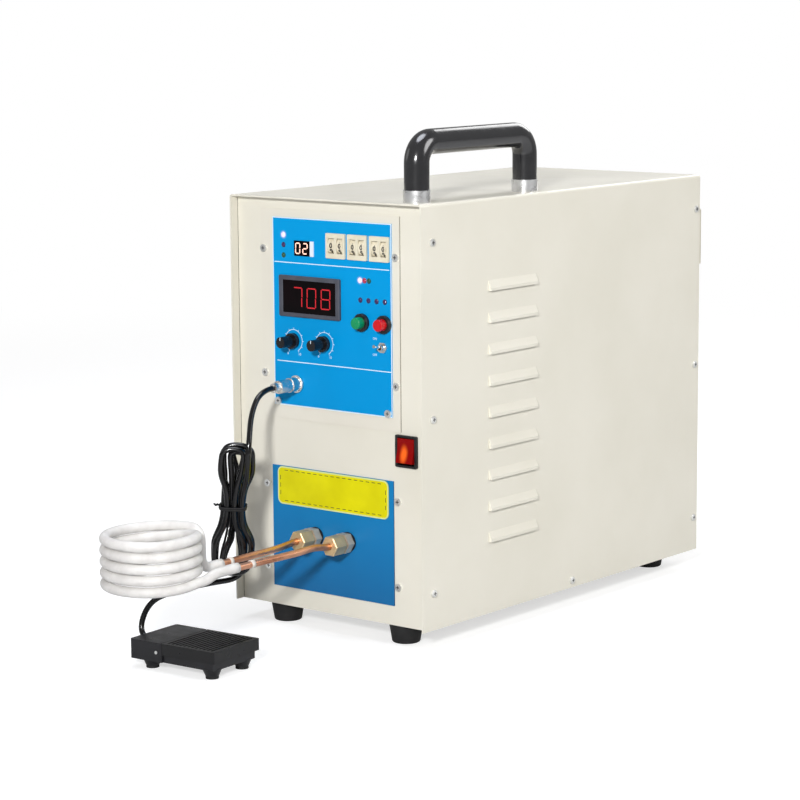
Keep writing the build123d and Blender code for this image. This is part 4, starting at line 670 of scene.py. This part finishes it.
pedal = {"centre": (-19.6, -283.65), "turn": 3.2, "bushAcross": 2.0, "bushHeight": 16.5, "back": -49.0}
pedalTurn = math.radians(pedal["turn"])
pedalWay = Vector((math.cos(pedalTurn), math.sin(pedalTurn), 0))
pedalCross = Vector((-math.sin(pedalTurn), math.cos(pedalTurn), 0))


def onPedal(along, across, height):
    return at(*pedal["centre"], height) + (pedalWay * along + pedalCross * across) * 0.001


bushStart = onPedal(pedal["back"], pedal["bushAcross"], pedal["bushHeight"])
plugEnd = spot(plug["x"], plug["ahead"], plug["z"])
cordPoints = [
    plugEnd,
    spot(plug["x"], 44.0, plug["z"]),
    spot(-37.5, 61.0, 199.5),
    hankPoint(hank["entry"][0], 63.4, hank["entry"][1]),
]
cordPoints += hankTurns()
cordPoints += [
    hankPoint(12.6, -69.6, -10.5),
    spot(-68.0, 90.0, 38.5),
    spot(-77.0, 121.0, 37.0),
    spot(-85.0, 155.0, 31.0),
    bushStart - pedalWay * 0.021,
    bushStart,
]
footCord = makeLine("footCord", cordPoints, 2.65, finish["cordSkin"], "chassis", 10)
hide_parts("cord_upper", "cord_hank", "cord_lower")

# Cord tie: turns round the waist and a twisted tail to the left
tie = {
    "turns": 2,
    "half": 12.2,
    "depth": 13.9,
    "wire": 0.9,
    "foot": -1.2,
    "rise": 1.7,
    "slant": 0.6,
    "tail": 5.5,
    "twists": 6,
    "twistBy": 100,
    "twistReach": 0.8,
}


def tieLine():
    points = []
    corners = ((-1, 0.2), (-1, 1), (0, 1), (1, 1), (1, 0), (1, -1), (0, -1), (-1, -1))
    for turn in range(tie["turns"]):
        rise = tie["foot"] + tie["rise"] * turn
        for across, toward in corners:
            lift = rise + (tie["slant"] if across > 0 else 0.0)
            points.append(hankPoint(across * tie["half"], lift, toward * tie["depth"]))
    points.append(hankPoint(-tie["half"], 1.6, 2.0))
    for twist in range(tie["twists"]):
        angle = twist * math.radians(tie["twistBy"])
        across = -tie["half"] - 1.4 - twist * tie["tail"] / (tie["twists"] + 1)
        up, toward = tie["twistReach"] * math.sin(angle), tie["twistReach"] * math.cos(angle)
        points.append(hankPoint(across, 1.8 + up, 4.5 + toward))
    return points


cordTie = makeLine("cordTie", tieLine(), tie["wire"], finish["rubber"], "chassis", 8)
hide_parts("cord_tie")
print("cord laid")

# Finishes of the CAD nodes that stay
dressed = {
    "casePaint": ("cover", "base_tray", "front_panel", "rear_panel"),
    "terminalPaint": ("terminal_cover",),
    "platePaint": ("control_plate",),
    "overlayFilm": ("control_overlay",),
    "lowerFilm": ("lower_plate",),
    "labelVinyl": ("label_plate",),
    "rubber": ("rubber_feet", "pedal_feet", "grommets", "cord_bush"),
    "zinc": ("cover_screws", "panel_screws", "pedal_pin"),
    "gripPlastic": ("handle_grip",),
    "chrome": ("toggle_lever",),
    "satinSteel": ("handle_ferrules",),
    "nickel": ("panel_bushings", "panel_socket"),
    "knurledNickel": ("cord_plug",),
    "switchBlack": ("rocker_bezel", "button_bezels", "pedal_switch"),
    "rockerRed": ("rocker",),
    "bezelGrey": ("display_bezel",),
    "windowDark": ("display_windows",),
    "caseCream": ("thumbwheel_cases",),
    "wheelCream": tuple("number_wheel_%d" % wheel for wheel in range(1, 7)),
    "knobBlack": ("knob_left", "knob_right"),
    "startGreen": ("start_button",),
    "stopRed": ("stop_button",),
    "pedalGrey": ("pedal_base",),
    "treadleDark": ("treadle",),
    "brass": ("pipe_nuts", "hose_tails"),
    "paleBrass": ("bulkheads",),
    "copper": ("work_coil",),
    "fanBlack": ("fan_frame", "fan_rotor"),
    "guardWire": ("fan_guard",),
    "aluminium": ("heatsink",),
    "moduleDark": ("power_modules", "capacitor_bank"),
    "ferrite": ("transformer",),
    "boardGreen": ("control_board",),
}
for look, names in dressed.items():
    for name in names:
        nodes[name].data.materials.clear()
        nodes[name].data.materials.append(finish[look])
print("CAD nodes dressed")

# Coil sleeve: a white woven glass sleeve drawn over the copper winding. The winding sags by its lift
# and rises by its hump; above it the tube swings over to the rear pipe.
coil = {
    "x": -28.8,
    "ahead": 205.5,
    "radius": 41.5,
    "turns": 4.5,
    "pitch": 10.2,
    "height": 65.4,
    "phase": 45.4,
    "lift": 1.3,
    "hump": 5.0,
    "humpPhase": -37.0,
    "points": 16,
    "swing": {"x": -26.3, "across": 44.0, "ahead": 49.9, "low": 107.8, "climb": 0.8},
    "sleeve": 4.7,
    "wall": 0.9,
}


def coilPoint(degrees, spread=1.0):
    angle = math.radians(degrees)
    phase = math.radians(coil["phase"])
    lift = coil["lift"] * (1 - math.cos(angle - phase))
    hump = coil["hump"] * ((1 + math.cos(angle - math.radians(coil["humpPhase"]))) / 2) ** 4
    height = coil["height"] + coil["pitch"] * (degrees - coil["phase"]) / 360 - lift
    reach = coil["radius"] * spread
    return spot(coil["x"] + reach * math.cos(angle), coil["ahead"] + reach * math.sin(angle), height + hump)


def sleevePoints():
    points = [
        spot(13.35, 138.4, 73.2),
        spot(12.75, 149.0, 73.0),
        spot(12.7, 166.5, 73.0),
        spot(12.7, 179.5, 68.5),
        spot(12.7, 191.0, 68.4),
        spot(12.7, 200.0, 67.3),
    ]
    steps = int(coil["turns"] * coil["points"])
    swell = 1 / math.cos(math.pi / coil["points"]) ** 0.5
    for step in range(steps):
        points.append(coilPoint((step + 0.5) * 360 / coil["points"], swell))
    swing = coil["swing"]
    for part in (11.25, 33.75, 56.25, 78.75):
        turn = math.radians(part)
        x = swing["x"] - swing["across"] * swell * math.cos(turn)
        ahead = coil["ahead"] - swing["ahead"] * swell * math.sin(turn)
        points.append(spot(x, ahead, swing["low"] + swing["climb"] * part / 90))
    points += [
        spot(-21.74, 155.6, 108.6),
        spot(-15.3, 155.6, 102.2),
        spot(-15.3, 155.6, 90.0),
        spot(-15.3, 155.6, 77.6),
        spot(-15.3, 149.2, 71.2),
        spot(-15.3, 138.0, 71.2),
        spot(-15.5, 128.8, 71.2),
    ]
    return points


# Woven glass: slanting threads both ways that go over and under each other
def weaveFinish():
    weave = newFinish("sleeveWeave", tint(226, 223, 220), 0.42, Specular_IOR_Level=0.4)
    tree = weave.node_tree
    slant = {"Rotation": (0, 0, math.radians(45)), "Scale": (1000, 1000, 1000)}
    slant["Vector"] = addNode(tree, "UVMap", uv_map="sleeveUV").outputs[0]
    slanted = addNode(tree, "Mapping", slant).outputs[0]
    braid = addNode(tree, "TexChecker", {"Vector": slanted, "Scale": 1.1})
    pick = addNode(tree, "Mix", {"Factor": braid.outputs["Fac"]})
    for socket, direction in (("A", "X"), ("B", "Y")):
        wave = {"Vector": slanted, "Scale": 0.55, "Distortion": 1.5, "Detail": 2.0}
        threads = addNode(tree, "TexWave", wave, wave_type="BANDS", bands_direction=direction)
        tree.links.new(threads.outputs["Fac"], pick.inputs[socket])
    relief = {"Height": pick.outputs["Result"], "Distance": 0.00018, "Strength": 0.45}
    feed(weave, "Normal", addNode(tree, "Bump", relief).outputs["Normal"])
    mottle(weave, tint(212, 209, 206), tint(230, 228, 225), 60.0)


# A tube swept along a line, with a map in metres: along it and round it
def sweepTube(name, points, radius, look, body, segments=20):
    guide = meshFrom(addObject(name + "Line", newLine(name + "Line", points, 4)))
    centres = [vert.co.copy() for vert in guide.vertices]
    shape = bmesh.new()
    uvLayer = shape.loops.layers.uv.new("sleeveUV")
    way = (centres[1] - centres[0]).normalized()
    first = bmesh.ops.create_circle(
        shape,
        cap_ends=False,
        segments=segments,
        radius=radius * 0.001,
        matrix=Matrix.Translation(centres[0]) @ way.to_track_quat("Z", "Y").to_matrix().to_4x4(),
    )
    ring = first["verts"]
    edges = list({edge for vert in ring for edge in vert.link_edges})
    rounds = {vert: index / segments for index, vert in enumerate(ring)}
    lengths = {vert: 0.0 for vert in ring}
    travelled = 0.0
    for step in range(1, len(centres)):
        shift = centres[step] - centres[step - 1]
        travelled += shift.length
        ahead = centres[min(step + 1, len(centres) - 1)]
        nextWay = (ahead - centres[step - 1]).normalized()
        turnBy = way.rotation_difference(nextWay).to_matrix()
        grown = bmesh.ops.extrude_edge_only(shape, edges=edges)["geom"]
        fresh = [item for item in grown if isinstance(item, bmesh.types.BMVert)]
        edges = [
            item
            for item in grown
            if isinstance(item, bmesh.types.BMEdge) and all(vert in fresh for vert in item.verts)
        ]
        for vert in fresh:
            below = next(e.other_vert(vert) for e in vert.link_edges if e.other_vert(vert) in lengths)
            rounds[vert] = rounds[below]
        for vert in fresh:
            vert.co = centres[step] + turnBy @ (vert.co - centres[step - 1])
            lengths[vert] = travelled
        way = nextWay
    girth = 2 * math.pi * radius * 0.001
    for face in shape.faces:
        seam = [rounds[loop.vert] for loop in face.loops]
        wraps = max(seam) - min(seam) > 0.5
        for loop in face.loops:
            around = rounds[loop.vert]
            if wraps and around < 0.5:
                around += 1.0
            loop[uvLayer].uv = (lengths[loop.vert], around * girth)
    bmesh.ops.recalc_face_normals(shape, faces=shape.faces)
    bmesh.ops.solidify(shape, geom=shape.faces[:], thickness=coil["wall"] * 0.001)
    return makePiece(name, shape, [look], body)


weaveFinish()
coilSleeve = sweepTube("coilSleeve", sleevePoints(), coil["sleeve"], "sleeveWeave", "chassis")
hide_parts("coil_sleeve")

facing = Matrix.Rotation(math.radians(90), 4, "X")


# A short round body with its axis out of the front
def addDisc(shape, centre, outer, inner, depth, segments):
    made = bmesh.ops.create_cone(
        shape,
        cap_ends=True,
        segments=segments,
        radius1=outer * 0.001,
        radius2=inner * 0.001,
        depth=depth * 0.001,
    )
    bmesh.ops.transform(shape, matrix=Matrix.Translation(centre) @ facing, verts=made["verts"])
    return made["verts"]


# Pale bands of tape round the two pipes, just behind the sleeve: x, first, last, height
bands = {"pipes": ((14.4, 118.5, 122.5, 73.4), (-15.9, 114.5, 118.5, 71.2)), "radius": 3.9}


def addBands():
    shape = bmesh.new()
    radius = bands["radius"]
    for x, first, last, z in bands["pipes"]:
        addDisc(shape, spot(x, (first + last) / 2, z), radius, radius, last - first, 32)
    makePiece("pipeBands", shape, ["bandTape"], "chassis")


addBands()
print("coil sleeve drawn on")


# A flat strip on the front panel, its corners rounded by a bevel
def addStrip(shape, x, z, width, height, proud, thick, tilt=0.0, corner=0.0):
    verts = bmesh.ops.create_cube(shape, size=1.0)["verts"]
    spin = Matrix.Rotation(math.radians(tilt), 4, "Y")
    size = Matrix.Diagonal((width * 0.001, thick * 0.001, height * 0.001, 1))
    centre = onPanel(x, z, proud - thick / 2)
    bmesh.ops.transform(shape, matrix=Matrix.Translation(centre) @ spin @ size, verts=verts)
    if corner:
        uprights = [
            edge
            for edge in {edge for vert in verts for edge in vert.link_edges}
            if abs((edge.verts[0].co - edge.verts[1].co).y) > thick * 0.0005
        ]
        bmesh.ops.bevel(
            shape,
            geom=uprights,
            offset=corner * 0.001,
            segments=5,
            profile=0.5,
            affect="EDGES",
            material=-1,
        )


# Seven-segment digits
segments = {
    "0": "abcdef",
    "1": "bc",
    "2": "abged",
    "3": "abgcd",
    "4": "fgbc",
    "5": "afgcd",
    "6": "afgedc",
    "7": "abc",
    "8": "abcdefg",
    "9": "abcdfg",
}


# How the bars are cut, as shares of their stroke, and the digits' lean and thickness
bar = {"side": 0.6, "middle": 1.4, "corner": 0.3, "lean": 0.04, "thick": 0.08}


def addDigit(shape, digit, x, z, width, height, stroke, proud):
    side = height / 2 - stroke * bar["side"]
    bars = {
        "a": (0, height / 2, width - stroke, stroke),
        "g": (0, 0, width - stroke * bar["middle"], stroke),
        "d": (0, -height / 2, width - stroke, stroke),
        "b": (width / 2, height / 4, stroke, side),
        "c": (width / 2, -height / 4, stroke, side),
        "f": (-width / 2, height / 4, stroke, side),
        "e": (-width / 2, -height / 4, stroke, side),
    }
    corner = stroke * bar["corner"]
    for letter in segments[digit]:
        across, up, long, tall = bars[letter]
        leaning = x + across + up * bar["lean"]
        addStrip(shape, leaning, z + up, long, tall, proud, bar["thick"], corner=corner)


# The two readouts: their digits and where these stand, from the left
readouts = {
    "displayDigits": {
        "digits": "708",
        "centres": (-36.7, -19.6, -2.2),
        "z": 300.9,
        "width": 10.6,
        "height": 18.2,
        "stroke": 1.15,
        "proud": 2.12,
        "finish": "digitRed",
    },
    "counterDigits": {
        "digits": "02",
        "centres": (-36.8, -27.8),
        "z": 347.1,
        "width": 5.2,
        "height": 9.6,
        "stroke": 1.1,
        "proud": 0.92,
        "finish": "digitPale",
    },
}


def addReadout(name, row):
    shape = bmesh.new()
    proud = place["overlay"] + row["proud"]
    for digit, x in zip(row["digits"], row["centres"]):
        addDigit(shape, digit, x, row["z"], row["width"], row["height"], row["stroke"], proud)
    makeFlat(name, shape, row["finish"])


for name, row in readouts.items():
    addReadout(name, row)
print("readouts lit")

# Indicator lights: a flange and a round lens each, with the place of its colour in the looks
lights = {
    "spots": (
        (-55.4, 359.0, 0),
        (-55.4, 349.5, 1),
        (-55.4, 339.7, 3),
        (38.2, 321.5, 0),
        (43.5, 321.5, 2),
        (48.8, 321.5, 3),
        *((x, 303.2, 1) for x in (38.4, 48.1, 57.8, 67.5)),
    ),
    "looks": ("ledLit", "ledPurple", "ledRed", "ledGreen"),
    "radius": 2.3,
    "flange": 2.6,
    "edge": 0.25,
    "dome": 1.5,
    "sunk": 0.15,
    "behind": 2.7,
    "behindSunk": 0.2,
}


def addLights():
    shape = bmesh.new()
    radius, flange = lights["radius"], lights["flange"]
    squash = Matrix.Diagonal((1, lights["dome"] / radius, 1, 1))
    for x, z, look in lights["spots"]:
        dome = bmesh.ops.create_uvsphere(shape, u_segments=24, v_segments=12, radius=radius * 0.001)
        lens = dome["verts"]
        centre = onPanel(x, z, place["overlay"] - lights["sunk"])
        bmesh.ops.transform(shape, matrix=Matrix.Translation(centre) @ squash, verts=lens)
        behind = onPanel(x, z, place["overlay"] - lights["behind"] / 2 - lights["behindSunk"])
        body = addDisc(shape, behind, radius, radius, lights["behind"], 24)
        ahead = onPanel(x, z, place["overlay"] + lights["edge"] / 2)
        ring = addDisc(shape, ahead, flange, flange - lights["edge"], lights["edge"], 24)
        for face in {face for vert in lens + body + ring for face in vert.link_faces}:
            face.material_index = look
    makePiece("indicatorLights", shape, lights["looks"], "chassis", ["indicator_leds"])


addLights()
print("lights set")

# Printing on the overlay: border, rules, dial arcs with ticks and figures, and the toggle's words
printing = {
    "left": -69.0,
    "right": 75.7,
    "low": 196.4,
    "high": 375.5,
    "border": 0.9,
    "ruleWidth": 0.8,
    "ruleCorner": 0.3,
    "rules": ((-67.0, 73.2, 333.0), (-65.0, 74.7, 238.8)),
    "ink": 0.05,
    "dials": ((-44.0, 259.0), (-5.9, 259.0)),
    "arcRadius": 10.6,
    "arcWidth": 0.55,
    "arcFrom": -150,
    "arcTo": 150,
    "tickEvery": 30,
    "tickReach": 11.6,
    "tick": (0.4, 1.5),
    "figureReach": 14.6,
    "figureSize": 3.2,
    "words": (("ON", 268.5), ("OFF", 253.5)),
    "wordsX": 55.5,
    "wordSize": 3.0,
}


def addArc(shape, x, z, radius, width, start, end, proud, steps=36):
    first = math.radians(start)
    outward = Vector((math.sin(first), 0, math.cos(first)))
    centre = onPanel(x, z, proud)
    ends = (radius - width / 2, radius + width / 2)
    verts = [shape.verts.new(centre + outward * reach * 0.001) for reach in ends]
    edge = shape.edges.new(verts)
    bmesh.ops.spin(
        shape,
        geom=[*verts, edge],
        cent=centre,
        axis=(0, 1, 0),
        angle=math.radians(end - start),
        steps=steps,
        use_merge=False,
    )


# A place round a dial, by its angle from the top
def onDial(x, z, reach, degrees):
    angle = math.radians(degrees)
    return x + reach * math.sin(angle), z + reach * math.cos(angle)


def addPrinting():
    shape = bmesh.new()
    ink = printing["ink"]
    proud = place["overlay"] + ink
    border = printing["border"]
    midX = (printing["left"] + printing["right"]) / 2
    midZ = (printing["low"] + printing["high"]) / 2
    wide = printing["right"] - printing["left"]
    tall = printing["high"] - printing["low"] - 2 * border
    for z in (printing["low"] + border / 2, printing["high"] - border / 2):
        addStrip(shape, midX, z, wide, border, proud, ink)
    for x in (printing["left"] + border / 2, printing["right"] - border / 2):
        addStrip(shape, x, midZ, border, tall, proud, ink)
    for start, end, z in printing["rules"]:
        middle, wide = (start + end) / 2, end - start
        addStrip(shape, middle, z, wide, printing["ruleWidth"], proud, ink, corner=printing["ruleCorner"])
    start, end = printing["arcFrom"], printing["arcTo"]
    for x, z in printing["dials"]:
        addArc(shape, x, z, printing["arcRadius"], printing["arcWidth"], start, end, proud)
        for angle in range(start, end + 1, printing["tickEvery"]):
            tickX, tickZ = onDial(x, z, printing["tickReach"], angle)
            addStrip(shape, tickX, tickZ, *printing["tick"], proud, ink, tilt=angle)
    makeFlat("overlayPrint", shape, "whiteInk")


# The white strip beside the counter's digits
counterStrip = {"x": -19.8, "z": 347.1, "width": 4.6, "height": 14.3, "thick": 0.8, "corner": 0.3}


def addCounterStrip():
    shape = bmesh.new()
    strip = counterStrip
    proud = place["overlay"] + strip["thick"]
    where = (strip["x"], strip["z"], strip["width"], strip["height"])
    addStrip(shape, *where, proud, strip["thick"], corner=strip["corner"])
    makeFlat("counterStrip", shape, "stripWhite")


addPrinting()
addCounterStrip()
print("overlay printed")


# Figures are made from text, turned into a mesh and then put in place
def figureMesh(words, size, bold=0.0):
    text = bpy.data.curves.new("figure", "FONT")
    text.body = words
    text.size = size * 0.001
    text.align_x = "CENTER"
    text.align_y = "CENTER"
    text.extrude = 0.00004
    text.offset = bold * 0.001
    return meshFrom(addObject("figure", text))


def addFigure(shape, words, size, x, z):
    mesh = figureMesh(words, size)
    mesh.transform(Matrix.Translation(onPanel(x, z, place["overlay"] + printing["ink"])) @ facing)
    shape.from_mesh(mesh)
    bpy.data.meshes.remove(mesh)


def addWords():
    shape = bmesh.new()
    for x, z in printing["dials"]:
        for value, angle in (("0", printing["arcFrom"]), ("10", printing["arcTo"])):
            figureX, figureZ = onDial(x, z, printing["figureReach"], angle)
            addFigure(shape, value, printing["figureSize"], figureX, figureZ)
    for words, z in printing["words"]:
        addFigure(shape, words, printing["wordSize"], printing["wordsX"], z)
    makeFlat("overlayFigures", shape, "whiteInk")


addWords()

# Number wheels: ten figures round each drum, two drums in each case
wheels = {
    "x": (10.0, 36.1, 62.3),
    "apart": 5.2,
    "z": 351.7,
    "axisDepth": 4.9,
    "radius": 8.7,
    "size": 6.3,
    "bold": 0.26,
    "shown": "000000",
}


def addWheelFigures():
    centreY = (place["panelY"] + wheels["axisDepth"]) * 0.001
    centreZ = (place["floorZ"] + wheels["z"]) * 0.001
    radius = wheels["radius"] * 0.001
    drums = [(case + side * wheels["apart"]) * 0.001 for case in wheels["x"] for side in (-1, 1)]
    for number, centreX in enumerate(drums, 1):
        shape = bmesh.new()
        shown = int(wheels["shown"][number - 1])
        for value in range(10):
            turn = math.radians(36 * (value - shown))
            mesh = figureMesh(str(value), wheels["size"], wheels["bold"])
            for vert in mesh.vertices:
                angle = turn + vert.co.y / radius
                reach = radius + vert.co.z + 0.00006
                y = centreY - reach * math.cos(angle)
                vert.co = Vector((centreX + vert.co.x, y, centreZ + reach * math.sin(angle)))
            shape.from_mesh(mesh)
            bpy.data.meshes.remove(mesh)
        makeFlat("wheelFigures%d" % number, shape, "blackInk", "wheel_%d_body" % number)


addWheelFigures()
print("figures printed")

# Painted shade along the seams where the sheet panels meet, and beside the control plate: x, z, width,
# height
seamThick = 0.04
seams = (
    (114.55, 196.0, 0.5, 390.0),
    (-114.55, 196.0, 0.5, 390.0),
    (75.45, 77.75, 0.4, 118.0),
    (-74.25, 77.75, 0.4, 118.0),
    (0, 393.2, 226.0, 0.5),
    (84.6, 283.0, 0.5, 199.0),
)


def addSeams():
    shape = bmesh.new()
    for x, z, width, height in seams:
        addStrip(shape, x, z, width, height, seamThick, seamThick)
    makeFlat("seamShades", shape, "seamShade")


addSeams()

# Painted shade of the screws' cross recesses, as thin dark crosses: on the sides behind the front edge and
# up, in front across, up and out
screws = {
    "side": (*((behind, z) for behind in (16.0, 457.0) for z in (35.0, 197.7, 360.0)), (237.0, 7.3)),
    "sideX": 118.3,
    "panel": ((80.5, 226.0, 3.0), (80.5, 345.0, 3.0), (80.5, 37.0, 2.0), (80.5, 118.0, 2.0)),
    "overlay": ((-63.5, 200.0, 3.8), (71.0, 200.0, 3.8)),
    "long": 3.4,
    "wide": 0.8,
    "deep": 0.06,
}


def addRecesses():
    shape = bmesh.new()
    long, wide = screws["long"], screws["wide"]
    heads = [onPanel(x, z, proud) for x, z, proud in screws["overlay"]]
    heads += [onPanel(way * x, z, proud) for x, z, proud in screws["panel"] for way in (1, -1)]
    poses = [Matrix.Translation(head) @ facing for head in heads]
    for behind, z in screws["side"]:
        for way in (1, -1):
            head = at(way * screws["sideX"], place["frontY"] + behind, place["floorZ"] + z)
            poses.append(Matrix.Translation(head) @ Matrix.Rotation(math.radians(90 * way), 4, "Y"))
    for pose in poses:
        for across, up in ((long, wide), (wide, long)):
            made = bmesh.ops.create_cube(shape, size=1.0)
            size = Matrix.Diagonal((across * 0.001, up * 0.001, screws["deep"] * 0.001, 1))
            bmesh.ops.transform(shape, matrix=pose @ size, verts=made["verts"])
    makeFlat("screwRecessShades", shape, "recessShade")


addRecesses()

# Bare label: a pale rim round its edge and a dashed line inside it
label = {
    "x": 1.4,
    "low": 99.8,
    "width": 136.8,
    "height": 36.6,
    "corner": 6.0,
    "rim": 1.3,
    "proud": 1.55,
    "ink": 0.05,
    "inset": 3.5,
    "dash": 4.2,
    "gap": 3.0,
    "line": 0.6,
}
labelMiddle = label["low"] + label["height"] / 2


def addLabelRim():
    shape = bmesh.new()
    rim, top, ink = label["rim"], label["proud"], label["ink"]
    half = label["width"] / 2 - rim / 2
    tall = label["height"] / 2 - rim / 2
    long = label["width"] - 2 * label["corner"]
    high = label["height"] - 2 * label["corner"]
    for way in (1, -1):
        addStrip(shape, label["x"], labelMiddle + way * tall, long, rim, top, ink)
        addStrip(shape, label["x"] + way * half, labelMiddle, rim, high, top, ink)
    for wayX, wayZ, start in ((1, 1, 0), (1, -1, 90), (-1, -1, 180), (-1, 1, 270)):
        cornerX = label["x"] + wayX * long / 2
        cornerZ = labelMiddle + wayZ * high / 2
        addArc(shape, cornerX, cornerZ, label["corner"] - rim / 2, rim, start, start + 90, top, steps=8)
    makeFlat("labelRim", shape, "limeRim")


def addLabelDashes():
    shape = bmesh.new()
    line, dash, top, ink = label["line"], label["dash"], label["proud"], label["ink"]
    wide = label["width"] - 2 * label["inset"]
    tall = label["height"] - 2 * label["inset"]
    pitch = dash + label["gap"]
    across = int((wide - 6) / pitch)
    down = int((tall - 3) / pitch)
    for way in (-1, 1):
        for index in range(across):
            x = label["x"] + (index - (across - 1) / 2) * pitch
            addStrip(shape, x, labelMiddle + way * tall / 2, dash, line, top, ink)
        for index in range(down):
            z = labelMiddle + (index - (down - 1) / 2) * pitch
            addStrip(shape, label["x"] + way * wide / 2, z, line, dash, top, ink)
    makeFlat("labelDashes", shape, "blackInk")


addLabelRim()
addLabelDashes()

# White pointer lines on the knobs
pointers = {
    "leftPointer": (-44.0, "left_knob_body"),
    "rightPointer": (-5.9, "right_knob_body"),
    "z": 262.4,
    "width": 0.7,
    "length": 3.0,
    "front": 21.5,
    "thick": 0.06,
}


def addPointers():
    proud = pointers["front"] + pointers["thick"]
    size = (pointers["width"], pointers["length"])
    for name in ("leftPointer", "rightPointer"):
        x, body = pointers[name]
        shape = bmesh.new()
        addStrip(shape, x, pointers["z"], *size, proud, pointers["thick"], corner=0.2)
        makeFlat(name, shape, "whiteInk", body)


addPointers()
print("label and knobs marked")

# The spring under the treadle, which shortens by its drop as the treadle is pressed
spring = {"radius": 4.4, "wire": 0.6, "turns": 4.5, "points": 8, "drop": 3.2}


def addSpring():
    low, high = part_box("treadle_spring")
    centre = (low + high) / 2
    reach = spring["radius"] * 0.001
    wire = spring["wire"] * 0.001
    climb = high.z - low.z - 2 * wire
    steps = int(spring["turns"] * spring["points"])
    points = []
    for step in range(steps + 1):
        angle = 2 * math.pi * step / spring["points"]
        sideways = Vector((math.cos(angle), math.sin(angle), 0)) * reach
        points.append(Vector((centre.x, centre.y, low.z + wire + climb * step / steps)) + sideways)
    wound = makeLine("treadleSpringLine", points, spring["wire"], finish["springSteel"], "chassis", 4)
    mesh = meshFrom(wound)
    shape = bmesh.new()
    shape.from_mesh(mesh)
    bpy.data.meshes.remove(mesh)
    stands = ["treadle_spring"]
    piece = makePiece("treadleSpring", shape, ["springSteel"], "chassis", stands)
    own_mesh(piece)


addSpring()
print("spring wound")
